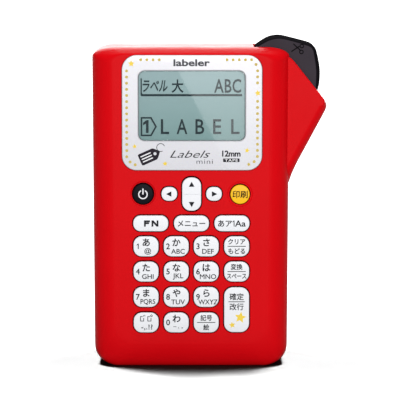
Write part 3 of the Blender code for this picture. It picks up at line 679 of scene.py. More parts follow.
def lay(name, bms, mat, body, tree_below=None, y=None, proud=0.03, deep=0.07):
    """Gives flat marks thickness and drops them on a surface: a closed mesh just proud of it."""
    bm = joined(bms)
    bmesh.ops.triangulate(bm, faces=bm.faces)
    if tree_below is not None:           # short edges, so that the mark follows the surface
        for _ in range(3):
            long = [e for e in bm.edges if e.calc_length() > 0.7 * MM]
            if long:
                bmesh.ops.subdivide_edges(bm, edges=long, cuts=1)
                bmesh.ops.triangulate(bm, faces=bm.faces)
    pinch = {v for v in bm.verts if sum(len(e.link_faces) == 1 for e in v.link_edges) > 2}
    split = [e for e in bm.edges if len(e.link_faces) > 2 or (len(e.link_faces) == 2 and (e.verts[0] in pinch or e.verts[1] in pinch))]
    if split or pinch:                   # strokes that only touch are kept apart, so that each one closes
        bmesh.ops.split_edges(bm, edges=split)
        pinch = [v for v in bm.verts if sum(len(e.link_faces) == 1 for e in v.link_edges) > 2]
        for v in pinch:
            for f in list(v.link_faces)[1:]:
                bmesh.utils.face_vert_separate(f, v)
    for f in bm.faces:
        f.normal_update()
        if f.normal.y > 0:
            f.normal_flip()
    for v in bm.verts:
        v.co.z += LIFT * MM
        hit = y * MM if y is not None else None
        if tree_below is not None:
            p = tree_below.ray_cast(Vector((v.co.x, -0.05, v.co.z)), Vector((0, 1, 0)))[0]
            hit = p.y if p is not None else KEY_TOP * MM
        v.co.y = hit - proud * MM
    ex = bmesh.ops.extrude_face_region(bm, geom=list(bm.faces), use_keep_orig=True)
    for g in ex["geom"]:
        if isinstance(g, bmesh.types.BMVert):
            g.co.y += deep * MM
    bmesh.ops.recalc_face_normals(bm, faces=bm.faces)
    return make(name, bm, mat, body, 30.0, False)


def kc(k):
    x0, x1, z0, z1, r = KEYS[k]
    return (x0 + x1) / 2, (z0 + z1) / 2


def one(x, z, h, w, reach):
    """The digit 1 as one outline: a stem of width w with a flag to its left."""
    x0, x1 = x + reach / 2 - w, x + reach / 2
    return flat([[(x1, z - h / 2), (x1, z + h / 2), (x0 + w * 0.25, z + h / 2), (x - reach / 2, z + h / 2 - h * 0.2), (x - reach / 2, z + h / 2 - h * 0.2 - w * 1.05), (x0, z + h / 2 - w * 1.35), (x0, z - h / 2)]])


def rule(x0, x1, z, w, n=18):
    """A thin level line in short lengths, so that it follows a crowned key."""
    bm = bmesh.new()
    rows = [[bm.verts.new(((x0 + (x1 - x0) * i / n) * MM, 0, (z + e) * MM)) for e in (-w / 2, w / 2)] for i in range(n + 1)]
    for a, b in zip(rows, rows[1:]):
        bm.faces.new((a[0], b[0], b[1], a[1]))
    return bm


def block_fn(x, z, h, w, t, gap):
    """Bold capitals F and N, each one outline."""
    xf, xn = x - gap / 2 - w * 0.86, x + gap / 2
    b, u, m = z - h / 2, z + h / 2, z + 0.05 * h
    f = [(xf, b), (xf, u), (xf + w * 0.86, u), (xf + w * 0.86, u - t), (xf + t, u - t), (xf + t, m + t / 2), (xf + w * 0.74, m + t / 2), (xf + w * 0.74, m - t / 2), (xf + t, m - t / 2), (xf + t, b)]
    n = [(xn, b), (xn, u), (xn + t * 1.05, u), (xn + w - t, b + t * 1.5), (xn + w - t, u), (xn + w, u), (xn + w, b), (xn + w - t * 1.05, b), (xn + t, u - t * 1.5), (xn + t, b)]
    return flat([f, n])


LEGENDS = {"key_1": ("1", "あ", "@"), "key_2": ("2", "か", "ABC"), "key_3": ("3", "さ", "DEF"), "key_4": ("4", "た", "GHI"), "key_5": ("5", "な", "JKL"),
           "key_6": ("6", "は", "MNO"), "key_7": ("7", "ま", "PQRS"), "key_8": ("8", "や", "TUV"), "key_9": ("9", "ら", "WXYZ"), "key_0": ("0", "わ", "ー 、。")}
for k, (digit, kana, letters) in LEGENDS.items():
    x, z = kc(k)
    marks = [one(x - 4.0, z + 0.1, 2.6, 0.42, 1.0) if digit == "1" else text_mesh(digit, 2.7, x - 3.95, z + 0.1, fat=0.065), text_mesh(kana, 3.6, x + 0.1, z + 2.0, fat=0.097, font_height=0.86)]
    low = text_mesh(letters, 2.3, x + 0.85, z - 2.35, fat=0.038, stretch=0.92 if len(letters) > 3 else 1.03, font_height=0.69 if letters != "ー 、。" else 1.2)
    marks.append(low)
    lay(f"{k}_legend", marks, mat_ink, k, KEY_BVH[k])
for k, up, low in (("key_clear", "クリア", "もどる"), ("key_space", "変換", "スペース"), ("key_symbol", "記号", "絵")):
    x, z = kc(k)
    wide = 8.8
    marks = [text_mesh(up, 2.6, x, z + 2.35, fat=0.065, font_height=0.86, stretch=0.95), text_mesh(low, 2.6, x, z - 2.2, fat=0.065, font_height=0.86, stretch=0.8 if len(low) == 4 else 0.95), rule(x - wide / 2, x + wide / 2, z + 0.1, 0.34)]
    lay(f"{k}_legend", marks, mat_ink, k, KEY_BVH[k])
x, z = kc("key_enter")
lay("key_enter_legend", [text_mesh("確定", 3.0, x, z + 6.4, fat=0.060, font_height=0.86), rule(x - 3.9, x + 3.9, z + 3.95, 0.34), text_mesh("改行", 3.0, x, z + 1.5, fat=0.060, font_height=0.86)], mat_ink, "key_enter", KEY_BVH["key_enter"])
lay("key_enter_stars", [flat([star((x + 1.8, z - 3.7), 2.85, 0.47, 80.0)]), flat([star((x - 2.1, z - 7.35), 1.6, 0.47, 100.0)])], mat_star, "key_enter", KEY_BVH["key_enter"])
x, z = kc("key_punctuation")
lay("key_punctuation_legend", [flat([bar(x + u + a, z + 0.8 + b, x + u + c, z + 0.8 + d, 0.34) for u in (-2.9, 0.6) for a, b, c, d in ((0, 0, 1.9, 0), (0.17, 0, 0.17, 2.3), (1.73, 0, 1.73, 1.5), (0, 2.13, 1.2, 2.13))]),
     flat([bar(x - 1.35, z + 3.55, x - 1.05, z + 2.95, 0.3), bar(x - 0.8, z + 3.75, x - 0.5, z + 3.15, 0.3)]), ring_flat((x + 2.55, z + 3.35), 0.28, 0.58, n=16), text_mesh("-,.!?", 2.3, x + 0.4, z - 2.3, spacing=1.15, fat=0.070)], mat_ink, "key_punctuation", KEY_BVH["key_punctuation"])
x, z = kc("key_design")
lay("key_design_legend", [block_fn(x, z, 3.0, 3.3, 0.85, 0.75)], mat_ink, "key_design", KEY_BVH["key_design"])
x, z = kc("key_menu")
lay("key_menu_legend", [text_mesh("メニュー", 3.05, x, z, fat=0.060, font_height=0.86, stretch=0.98)], mat_ink, "key_menu", KEY_BVH["key_menu"])
x, z = kc("key_mode")
lay("key_mode_legend", [text_mesh("あア", 3.1, x - 3.3, z, fat=0.065, font_height=0.86), one(x + 0.75, z, 2.9, 0.4, 0.95), text_mesh("Aa", 2.9, x + 4.0, z, fat=0.065, stretch=1.1)], mat_ink, "key_mode", KEY_BVH["key_mode"])
x, z = kc("key_left")
lay("key_left_legend", [flat([[(x - 1.55, z), (x + 1.0, z - 1.3), (x + 1.0, z + 1.3)]])], mat_ink, "key_left", KEY_BVH["key_left"])
x, z = kc("key_right")
lay("key_right_legend", [flat([[(x - 1.0, z - 1.3), (x + 1.55, z), (x - 1.0, z + 1.3)]])], mat_ink, "key_right", KEY_BVH["key_right"])
x, z = kc("key_up_down")
lay("key_up_down_legend", [flat([[(x - 1.35, z + 3.6), (x + 1.35, z + 3.6), (x, z + 6.0)], [(x - 1.35, z - 3.7), (x, z - 6.2), (x + 1.35, z - 3.7)]])], mat_ink, "key_up_down", KEY_BVH["key_up_down"])
x, z = kc("key_power")
lay("key_power_legend", [ring_flat((x, z - 0.2), 1.75, 2.3, 118.0, 422.0, 36), flat([bar(x, z - 0.2, x, z + 2.6, 0.62)])], mat_ink_white, "key_power", KEY_BVH["key_power"])
x, z = kc("key_print")
lay("key_print_legend", [text_mesh("印刷", 3.3, x, z, fat=0.065, font_height=0.86)], ink("print_ink", (0.03, 0.014, 0.003)), "key_print", KEY_BVH["key_print"])

# ---- marks on the panel: a dotted border with small stars, and generic words ----------
PX = 0.48
SX = lambda px: (px - 190.8) * PX
SZ = lambda py: (365.6 - py) * PX

PY = P_FACE = -27.3


def dots(points, r):
    return flat([circle((SX(a), SZ(b)), r, 12) for a, b in points])


gold = [(127.0, 71.0 + 6.114 * i) for i in range(15)] + [(130.3, 161.8), (135.4, 164.6)]
gold += [(141.1 + 6.13 * i, 59.9) for i in range(4)] + [(226.8 + 6.1 * i, 59.9) for i in range(5)] + [(255.6, 64.6)]
gold += [(257.2, 70.9 + 6.0 * i) for i in range(3)] + [(257.2, 101.3 + 6.11 * i) for i in range(10)] + [(253.9, 161.5), (248.6, 164.2)]
lay("panel_border_dots", [dots(gold, 0.72)], mat_gold, "case", y=PY)
lay("panel_border_stars", [flat([star((SX(a), SZ(b)), r, 0.5, 90 + t) for a, b, r, t in ((131.6, 63.8, 1.6, 0), (257.4, 93.1, 1.5, 12), (246.9, 150.3, 1.25, -8), (134.8, 146.3, 1.15, 6), (165.2, 163.5, 1.25, 0))])], mat_star, "case", y=PY)
lay("panel_top_word", [text_mesh("labeler", 3.1, SX(191.7), SZ(62.9), fat=0.14, spacing=1.0, stretch=1.42)], mat_ink_grey, "case", y=PY)
lay("panel_script_word", [text_mesh("Labels", 3.5, SX(190.0), SZ(154.0), shear=0.42, fat=-0.02, stretch=1.5, spacing=1.0)], mat_ink, "case", y=PY)
lay("panel_size_word", [text_mesh("mini", 2.3, SX(204.6), SZ(161.4), fat=-0.015, stretch=1.35, spacing=1.1)], mat_ink_grey, "case", y=PY)
tx, tz = SX(231.2), SZ(153.4)
lay("panel_tape_mark", [text_mesh("12mm", 2.7, tx, tz, fat=0.12, stretch=1.0, spacing=0.94)], mat_ink, "case", y=PY)
plate_bm = flat([rounded(SX(223.0), SX(239.4), SZ(161.9), SZ(158.3), 0.3, 3)])
lay("panel_tape_plate", [plate_bm], mat_ink, "case", y=PY)
lay("panel_tape_word", [text_mesh("TAPE", 1.15, tx, SZ(160.1), fat=0.03, stretch=1.5, spacing=1.15)], mat_ink_white, "case", y=PY - 0.02)


def tag_icon():
    """A luggage-style tag with a string loop, tilted, in place of the picture on the real panel."""
    a = math.radians(24)
    c, s = math.cos(a), math.sin(a)
    turn = lambda pts: [(SX(149.6) + x * c - z * s, SZ(156.0) + x * s + z * c) for x, z in pts]
    body = softened([(-5.0, -2.9), (3.0, -2.9), (5.6, 0.0), (3.0, 2.9), (-5.0, 2.9)], 0.8, 4)
    hole = circle((2.9, 0.0), 0.75, 20)
    bm = bmesh.new()
    outer = [bm.verts.new((x * MM, 0, z * MM)) for x, z in turn(body)]
    inner = [bm.verts.new((x * MM, 0, z * MM)) for x, z in turn(hole)]
    edges = [bm.edges.new((r[i], r[(i + 1) % len(r)])) for r in (outer, inner) for i in range(len(r))]
    bmesh.ops.triangle_fill(bm, edges=edges, use_beauty=True)
    return bm, turn


tag, turn_tag = tag_icon()
lay("panel_tag_icon", [tag], ink("tag_ink", (0.018, 0.014, 0.022)), "case", y=PY)
lay("panel_tag_lines", [flat([turn_tag(bar(-4.0, z, 1.2, z, 0.55)) for z in (1.35, 0.0, -1.35)])], mat_ink_white, "case", y=PY - 0.02)
loop_c = turn_tag([(6.6, 1.6)])[0]
lay("panel_tag_loop", [ring_flat(loop_c, 1.75, 2.05, 20.0, 300.0, 30)], mat_ink, "case", y=PY)

# ---- LCD pattern --------------------------------------------------------------
DROP = 0.2                     # the LCD lies behind the window, so the camera above sees it higher up


def LX(px):
    return SX(px)


def LZ(py):
    return SZ(py) - DROP


def frame_flat(outline, w):
    """A flat band of width w inside an outline."""
    inner = inset(list(reversed(outline)), w)
    bm = bmesh.new()
    a = [bm.verts.new((x * MM, 0, z * MM)) for x, z in reversed(outline)]
    b = [bm.verts.new((x * MM, 0, z * MM)) for x, z in inner]
    for i in range(len(a)):
        j = (i + 1) % len(a)
        bm.faces.new((a[i], a[j], b[j], b[i]))
    return bm


def strokes(pts, w):
    return flat([bar(LX(a), LZ(b), LX(c), LZ(d), w) for a, b, c, d in pts])


segs = [flat([
    [(LX(140.8), LZ(78.2)), (LX(140.8), LZ(95.2)), (LX(141.6), LZ(96.1)), (LX(242.0), LZ(96.1)), (LX(242.0), LZ(93.9)), (LX(143.1), LZ(93.9)), (LX(142.1), LZ(92.9)), (LX(142.1), LZ(78.2))]])]
flag = [(LX(140.8), LZ(136.0)), (LX(151.6), LZ(136.0)), (LX(157.0), LZ(126.4)), (LX(151.6), LZ(116.8)), (LX(140.8), LZ(116.8))]
lay("lcd_header_line", segs, mat_lcd_ink, "case", y=LCD_Y)
lay("lcd_header_words", [text_mesh("ラベル", 5.7, LX(155.2), LZ(86.0), fat=0.15, shear=0.22, stretch=0.64, font_height=0.86),
                         text_mesh("大", 5.7, LX(177.6), LZ(86.0), fat=0.15, stretch=0.88, font_height=0.86),
                         text_mesh("ABC", 6.3, LX(227.5), LZ(85.8), fat=0.14, stretch=0.71, spacing=1.06)], mat_lcd_ink, "case", y=LCD_Y)
lay("lcd_flag", [frame_flat(flag, 0.8)], mat_lcd_ink, "case", y=LCD_Y)
lay("lcd_line_number", [one(LX(146.0), LZ(126.3), 6.2, 1.25, 2.6)], mat_lcd_ink, "case", y=LCD_Y)
word = []
for ch, a, b in (("L", 160.9, 169.2), ("A", 176.6, 187.4), ("B", 195.4, 204.2), ("E", 213.0, 221.2), ("L", 231.0, 239.4)):
    t = text_mesh(ch, 7.0, LX((a + b) / 2), LZ(126.4), fat=0.12)
    xs = [v.co.x for v in t.verts]
    mid, wide = (min(xs) + max(xs)) / 2, max(xs) - min(xs)
    k = (LX(b) - LX(a)) * MM / wide
    for v in t.verts:
        v.co.x = mid + (v.co.x - mid) * k
    word.append(t)
lay("lcd_word", word, mat_lcd_ink, "case", y=LCD_Y)

# ---- lever -----------------------------------------------------------------------
LEVER_EDGE = [0.3, 0.5, 1.0, 1.1, 1.1, 1.1, 1.1, 1.4, 1.8, 2.2, 2.5, 2.6, 2.6, 2.5, 2.0, 0.9, 0.4, 0.3, 0.3, 0.3]   # edge radius at each corner
LEV = [(*p, e) for p, e in zip(LEVER, LEVER_EDGE)]
LEV = [LEV[0], (31.2, 142.8, 0.3), (31.2, 151.2, 0.4), (31.2, 152.2, 0.5)] + LEV[2:]
for _ in range(2):
    LEV = [tuple(u * (1 - k) + v * k for u, v in zip(a, b)) for a, b in zip(LEV, LEV[1:] + LEV[:1]) for k in (0.25, 0.75)]


def lever_ring(t):
    """The lever's outline t mm in from either face, with its edge rounded more along the outer side."""
    out = []
    n = len(LEV)
    for i, (x, z, e) in enumerate(LEV):
        d = (Vector(LEV[(i + 2) % n][:2]) - Vector(LEV[i - 2][:2])).normalized()
        q = Vector((x, z)) + Vector((d.y, -d.x)) * pillow(min(t, e), e, e)
        out.append(tuple(q))
    return out


ts = [2.6 * (1 - math.cos(math.pi / 2 * i / 11)) for i in range(12)]
y0, y1 = LEVER_Y
rings = [at_y(lever_ring(t), y0 + t) for t in ts] + [at_y(lever_ring(t * 1.6), y1 - t) for t in reversed([t * 0.6 for t in ts])]
lever = make("cutter_thumb_lever", loft(rings), mat_lever)
cut(lever, prism(LEVER_IN, y0 + 2.2, y1 + 1.0))
add(lever, turned(PIVOT, [(3.2, y0 + 0.2), (3.2, -4.2), (3.0, -4.0)], 40))
add(lever, box(49.5, 54.5, 6.6, 12.2, 134.6, 153.6))
cut(lever, turned(PIVOT, [(1.58, -18.0), (1.58, -3.0)], 32))
tmp = bmesh.new()
tmp.from_mesh(lever.data)
LEVER_BVH = BVHTree.FromBMesh(tmp)
tmp.free()
lever.data.materials.clear()
lever.data.materials.append(mat_lever)
# The lever's rim and side faces take a near-black second material: painted shade on its rounded edges.
lever.data.materials.append(moulded("lever_edge_painted_shade", (0.006, 0.005, 0.007), 0.6, 1500.0, 0.00002, 0.1, spec=0.02))
for p in lever.data.polygons:
    p.material_index = 1 if abs(p.normal.y) < 0.97 else 0
finish_mesh(lever, 30.0)
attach(lever, "cutter_lever")
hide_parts("cutter_lever")


def VX(px, y=-16.6):
    k = 1 + (y - Y_FRONT) / 1280.0
    return 4.4 + (SX(px) - 4.4) * k


def VZ(py, y=-16.6):
    k = 1 + (y - Y_FRONT) / 1280.0
    return 79.5 + (SZ(py) - 79.5) * k - (y - Y_FRONT) * 0.1045


mark = [flat([bar(VX(a), VZ(b), VX(c), VZ(d), 0.5) for a, b, c, d in ((292.6, 44.1, 299.3, 50.4), (290.6, 51.9, 298.6, 46.6))]),
        ring_flat((VX(301.0), VZ(46.4)), 0.62, 1.08, n=24), ring_flat((VX(300.6), VZ(52.2)), 0.62, 1.08, n=24)]
lay("cutter_scissors_mark", mark, moulded("lever_mark", (0.002, 0.002, 0.002), 0.9, 1500.0, 0.000001, 0.0, spec=0.0), "cutter_lever", y=-16.6, proud=0.02, deep=0.05)

# ---- back cover --------------------------------------------------------------------
cy, cz = COVER_AXIS
x0, x1 = OPENING[0] + 0.3, OPENING[1] - 0.3


def cover_profile(d):
    pts = [(24.9 + d, 146.7 - d), (24.9 + d, cz)] + [(cy - (1.05 - d) * math.cos(math.radians(a)), cz - (1.05 - d) * math.sin(math.radians(a))) for a in range(15, 180, 15)]
    return pts + [(27.0 - d, cz), (27.0 - d, 146.2 - d), (26.9 - d, 146.55 - d), (26.6 - d, 146.7 - d)]


rings = []
for i in range(5):
    a = math.pi / 2 * i / 4
    d = 0.35 * (1 - math.sin(a))
    rings.append([(x0 + 0.35 * (1 - math.cos(a)), y, z) for y, z in cover_profile(d)])
rings += [[(x0 + x1 - x, y, z) for x, y, z in r] for r in reversed(rings)]
cover = make("bay_cover", loft(rings), mat_cover)
add(cover, turned_x(cy, cz, [(0.45, -38.7), (0.55, -38.55), (0.55, 38.55), (0.45, 38.7)], 24))
for i in range(4):
    zc, w = 136.6 - 2.4 * i, 9.0 - 0.4 * i
    cut(cover, loft([[(sx * w, 27.05 - 0.55 * math.sin(math.radians(a)), zc + 0.62 * math.cos(math.radians(a))) for a in range(-20, 201, 20)] for sx in (-1, 1)]))
cover.data.materials.clear()
cover.data.materials.append(mat_cover)
finish_mesh(cover, 30.0)
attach(cover, "back_cover")
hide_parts("back_cover")
bm = bmesh.new()
bm.faces.new([bm.verts.new(Vector(p) * MM) for p in ((-1.8, 27.0, 141.2), (1.8, 27.0, 141.2), (0.0, 27.0, 139.0))])
bmesh.ops.translate(bm, verts=bm.verts, vec=(0, 0.02 * MM, LIFT * MM))
ex = bmesh.ops.extrude_face_region(bm, geom=list(bm.faces), use_keep_orig=True)
for g in ex["geom"]:
    if isinstance(g, bmesh.types.BMVert):
        g.co.y -= 0.05 * MM
bmesh.ops.recalc_face_normals(bm, faces=bm.faces)
make("bay_cover_arrow", bm, ink("cover_arrow", (0.25, 0.002, 0.004)), "back_cover", 30.0, False)

# ---- cells --------------------------------------------------------------------------
def sleeve(name, up):
    m, nt, b = tree(name)
    t = nt.nodes.new("ShaderNodeTexCoord")
    sep = nt.nodes.new("ShaderNodeSeparateXYZ")
    nt.links.new(t.outputs["Object"], sep.inputs["Vector"])
    lo, hi = (0.032, 0.0767) if up else (0.0767, 0.032)
    f = ranged(nt, sep.outputs["Z"], 0.0, 1.0, lo, hi)
    r = nt.nodes.new("ShaderNodeValToRGB")
    r.color_ramp.interpolation = "CONSTANT"
    e = r.color_ramp.elements
    e[0].position, e[0].color = 0.0, (0.02, 0.022, 0.03, 1)
    e[1].position, e[1].color = 0.70, (0.55, 0.28, 0.06, 1)
    for p, c in ((0.08, (0.62, 0.62, 0.64, 1)), (0.11, (0.02, 0.022, 0.03, 1)), (0.93, (0.62, 0.62, 0.64, 1))):
        n = e.new(p)
        n.color = c
    nt.links.new(f, r.inputs["Fac"])
    mx = nt.nodes.new("ShaderNodeMix")
    mx.data_type, mx.blend_type = "RGBA", "MULTIPLY"
    mx.inputs["Factor"].default_value = 0.18
    nt.links.new(r.outputs["Color"], mx.inputs["A"])
    nt.links.new(noise(nt, 160.0, 4.0), mx.inputs["B"])
    nt.links.new(mx.outputs["Result"], b.inputs["Base Color"])
    nt.links.new(ranged(nt, noise(nt, 220.0), 0.22, 0.36), b.inputs["Roughness"])
    b.inputs["Metallic"].default_value = 0.45
    return m


mat_sleeve = {True: sleeve("cell_sleeve_up", True), False: sleeve("cell_sleeve_down", False)}
mat_cap = brushed("cell_end_steel", (0.72, 0.72, 0.74), 0.24, (40, 40, 1))
for i in range(6):
    x = (i - 2.5) * 11.1
    up = i % 2 == 0
    Z0, Z1 = 32.2, 76.7
    flip = (lambda pr: pr) if up else (lambda pr: [(r, Z0 + Z1 - z) for r, z in reversed(pr)])
    body = [(4.5, Z0 + 0.05), (4.9, Z0 + 0.1), (5.15, Z0 + 0.4), (5.2, Z0 + 0.9), (5.2, Z1 - 2.0), (5.08, Z1 - 1.35), (4.7, Z1 - 1.0), (4.35, Z1 - 0.95)]
    ob = make(f"cell_{i + 1}_sleeve", turned_z(x, 16.4, flip(body), 48), mat_sleeve[up], "case", 40.0)
    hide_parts(f"battery_{i + 1}")
    nub = [(3.6, Z1 - 0.98), (3.5, Z1 - 0.9), (1.95, Z1 - 0.88), (1.9, Z1 - 0.3), (1.75, Z1 - 0.08), (1.5, Z1)]
    make(f"cell_{i + 1}_nub", turned_z(x, 16.4, flip(nub), 36), mat_cap, "case", 40.0)

# ---- tape cassette -----------------------------------------------------------------
CAS = [(-36.8, 98.4), (24.0, 98.4), (29.6, 104.0), (29.6, 143.8), (-33.8, 143.8), (-36.8, 140.8)]
CAS_S = softened(CAS, 1.2, 5)
RIB = (12.572, 129.943)
mat_cas = moulded("cassette_smoke_plastic", (0.10, 0.105, 0.12), 0.26, 1500.0, 0.00001, 0.08)
mat_spool = moulded("spool_white_plastic", (0.78, 0.78, 0.74), 0.4, 1500.0, 0.00002, 0.04)
mat_paper = moulded("cassette_label_paper", (0.78, 0.79, 0.80), 0.6, 1400.0, 0.00001, 0.03)


def cas_ring(d, y):
    return at_y(inset(list(reversed(CAS_S)), d), y)


cas = make("tape_cassette_shell", loft([cas_ring(0.5 * (1 - math.cos(a)), 4.3 + 0.5 * (1 - math.sin(a))) for a in (math.pi / 2 * i / 5 for i in range(6))] + [cas_ring(0.0, 13.2), cas_ring(0.12, 13.25), cas_ring(0.12, 13.35), cas_ring(0.0, 13.4)] +
                                        [cas_ring(0.5 * (1 - math.cos(a)), 22.3 - 0.5 * (1 - math.sin(a))) for a in (math.pi / 2 * i / 5 for i in range(5, -1, -1))]), mat_cas)
cut(cas, turned(RIB, [(2.9, 3.0), (2.6, 4.6), (2.6, 22.0), (3.0, 22.4), (3.0, 24.0)], 40), turned((-16.0, 121.0), [(5.0, 3.0), (4.6, 4.6), (4.6, 22.0), (5.0, 22.4), (5.0, 24.0)], 56), box(26.4, 31.0, 7.0, 20.6, 121.0, 122.0))
cut(cas, prism(rounded(-30.0, -2.0, 102.0, 110.5, 1.2, 6), 21.9, 23.0), prism(rounded(2.0, 24.0, 102.5, 122.0, 1.6, 6), 21.9, 23.0))
cas.data.materials.clear()
cas.data.materials.append(mat_cas)
finish_mesh(cas, 32.0)
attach(cas, "case")
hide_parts("tape_cassette")
hub = [(4.3, 6.0), (4.45, 6.2), (4.45, 20.6), (4.3, 20.8)]
spool = make("cassette_tape_spool", turned((-16.0, 121.0), hub, 56), mat_spool)
cut(spool, turned((-16.0, 121.0), [(3.1, 5.0), (3.1, 22.0)], 40))
for i in range(6):
    a = 2 * math.pi * i / 6
    t = [(-16.0 + r * math.cos(a) - w * math.sin(a), 121.0 + r * math.sin(a) + w * math.cos(a)) for r, w in ((2.1, -0.35), (3.4, -0.45), (3.4, 0.45), (2.1, 0.35))]
    add(spool, prism(t, 7.0, 19.8))
spool.data.materials.clear()
spool.data.materials.append(mat_spool)
finish_mesh(spool, 32.0)
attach(spool, "case")


def lay_back(name, bms, mat, body, y, proud=0.03, deep=0.06):
    """Flat marks facing +Y: mirrored so they read from behind, then given thickness."""
    bm = joined(bms)
    bmesh.ops.remove_doubles(bm, verts=bm.verts, dist=1e-8)
    bmesh.ops.triangulate(bm, faces=bm.faces)
    for v in bm.verts:
        v.co = Vector((-v.co.x, (y + proud) * MM, v.co.z + LIFT * MM))
    ex = bmesh.ops.extrude_face_region(bm, geom=list(bm.faces), use_keep_orig=True)
    for g in ex["geom"]:
        if isinstance(g, bmesh.types.BMVert):
            g.co.y -= deep * MM
    bmesh.ops.recalc_face_normals(bm, faces=bm.faces)
    return make(name, bm, mat, body, 30.0, False)


lay_back("cassette_label", [flat([rounded(2.6, 29.4, 102.6, 109.9, 0.8, 5)])], mat_paper, "case", 21.9, 0.08, 0.1)
lay_back("cassette_label_text", [text_mesh("12 mm", 3.2, 16.0, 106.2, fat=0.03, spacing=1.05)], mat_ink, "case", 21.98, 0.02, 0.05)
lay_back("cover_bay_text", [text_mesh("AAA x 6", 3.4, 0.0, 84.3, fat=0.0, spacing=1.05)], ink("bay_mark", (0.3, 0.003, 0.005)), "case", 10.6, 0.02, 0.05) if False else None

# ---- screws seen from behind -----------------------------------------------------------
mat_screw = brushed("screw_zinc", (0.42, 0.42, 0.44), 0.34, (30, 30, 30))
for i, s in enumerate(SCREWS):
    sc = make(f"case_screw_{i + 1}_head", turned(s, [(1.0, -20.0), (1.2, -19.6), (1.2, 8.3), (2.1, 8.3), (2.1, 9.0), (1.95, 9.45), (1.5, 9.72), (0.8, 9.8)], 32), mat_screw)
    cut(sc, prism([(s[0] - 1.2, s[1] - 0.22), (s[0] + 1.2, s[1] - 0.22), (s[0] + 1.2, s[1] + 0.22), (s[0] - 1.2, s[1] + 0.22)], 9.1, 10.2))
    cut(sc, prism([(s[0] - 0.22, s[1] - 1.2), (s[0] + 0.22, s[1] - 1.2), (s[0] + 0.22, s[1] + 1.2), (s[0] - 0.22, s[1] + 1.2)], 9.12, 10.3))
    sc.data.materials.clear()
    sc.data.materials.append(mat_screw)
    finish_mesh(sc, 32.0)
    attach(sc, "case")
    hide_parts(f"case_screw_{i + 1}")

# ---- the rest of the inside keeps its CAD shape and gets a finish -------------------------
def board_green():
    m, nt, b = tree("board_solder_mask")
    t = nt.nodes.new("ShaderNodeTexCoord")
    v = nt.nodes.new("ShaderNodeTexBrick")
    v.inputs["Scale"].default_value = 220.0
    v.inputs["Color1"].default_value = (0.012, 0.11, 0.04, 1)
    v.inputs["Color2"].default_value = (0.016, 0.13, 0.05, 1)
    v.inputs["Mortar"].default_value = (0.03, 0.2, 0.09, 1)
    v.inputs["Mortar Size"].default_value = 0.02
    nt.links.new(t.outputs["Object"], v.inputs["Vector"])
    nt.links.new(v.outputs["Color"], b.inputs["Base Color"])
    nt.links.new(ranged(nt, noise(nt, 120.0), 0.26, 0.4), b.inputs["Roughness"])
    return m


inside = {
    "keypad_mat": moulded("mat_rubber_grey", (0.34, 0.34, 0.33), 0.72, 900.0, 0.00003, 0.06),
    "main_board": board_green(),
    "lever_pivot_pin": brushed("pin_ground_steel", (0.6, 0.6, 0.62), 0.24, (1, 30, 1)),
    "moving_blade": brushed("blade_ground_steel", (0.66, 0.66, 0.68), 0.2, (1, 1, 40)),
    "fixed_blade": brushed("anvil_ground_steel", (0.6, 0.6, 0.62), 0.24, (1, 1, 40)),
    "lever_spring": brushed("spring_music_wire", (0.52, 0.52, 0.55), 0.26, (1, 30, 1)),
    "print_head": moulded("head_ceramic", (0.68, 0.65, 0.58), 0.28, 900.0, 0.00001, 0.05),
    "head_heat_sink": brushed("sink_aluminium", (0.72, 0.73, 0.75), 0.34, (1, 40, 1)),
    "platen_roller": moulded("roller_rubber", (0.02, 0.02, 0.022), 0.7, 1800.0, 0.00003, 0.1),
    "roller_holder": moulded("holder_black_plastic", (0.03, 0.03, 0.034), 0.42, 1600.0, 0.00002, 0.1),
    "mechanism_chassis": moulded("chassis_grey_plastic", (0.20, 0.21, 0.225), 0.46, 1400.0, 0.00003, 0.06),
    "drive_motor": brushed("motor_can_steel", (0.6, 0.6, 0.62), 0.3, (1, 40, 1)),
    "motor_pinion": brushed("pinion_brass", (0.72, 0.5, 0.2), 0.28, (1, 40, 1)),
    "reduction_gear": moulded("gear_white_acetal", (0.74, 0.74, 0.70), 0.4, 1500.0, 0.00002, 0.04),
    "tape_drive_gear": moulded("gear_ivory_acetal", (0.72, 0.71, 0.66), 0.4, 1500.0, 0.00002, 0.04),
    "ribbon_drive_gear": moulded("gear_black_acetal", (0.02, 0.02, 0.022), 0.4, 1500.0, 0.00002, 0.1),
    "contact_strip_lower": brushed("contact_nickel_lower", (0.66, 0.65, 0.62), 0.26, (40, 1, 1)),
    "contact_strip_upper": brushed("contact_nickel_upper", (0.66, 0.65, 0.62), 0.26, (40, 1, 1)),
}
for node, mat in inside.items():
    me = NODES[node].data
    if not me.materials:
        me.materials.append(mat)
    for i in range(len(me.materials)):
        me.materials[i] = mat

# ---- floor, light and camera ---------------------------------------------------------------
fm, nt, b = tree("floor_paper")
nt.links.new(blend_rgb(nt, ranged(nt, noise(nt, 3.0, 4.0), 0, 1), (0.052, 0.052, 0.052), (0.0535, 0.0535, 0.0535)), b.inputs["Base Color"])
nt.links.new(ranged(nt, noise(nt, 40.0), 0.6, 0.75), b.inputs["Roughness"])
b.inputs["Specular IOR Level"].default_value = 0.0
dim = nt.nodes.new("ShaderNodeBsdfDiffuse")
dim.inputs["Color"].default_value = (0.016, 0.016, 0.016, 1)
pick, seen = nt.nodes.new("ShaderNodeMixShader"), nt.nodes.new("ShaderNodeLightPath")
nt.links.new(seen.outputs["Is Camera Ray"], pick.inputs["Fac"])
nt.links.new(dim.outputs["BSDF"], pick.inputs[1])
nt.links.new(b.outputs["BSDF"], pick.inputs[2])
nt.links.new(pick.outputs["Shader"], nt.nodes["Material Output"].inputs["Surface"])
bm = bmesh.new()
bm.faces.new([bm.verts.new((x, y, 0.0)) for x, y in ((-80, -80), (80, -80), (80, 80), (-80, 80))])
floor = make("floor", bm, fm)
col.objects.unlink(floor)
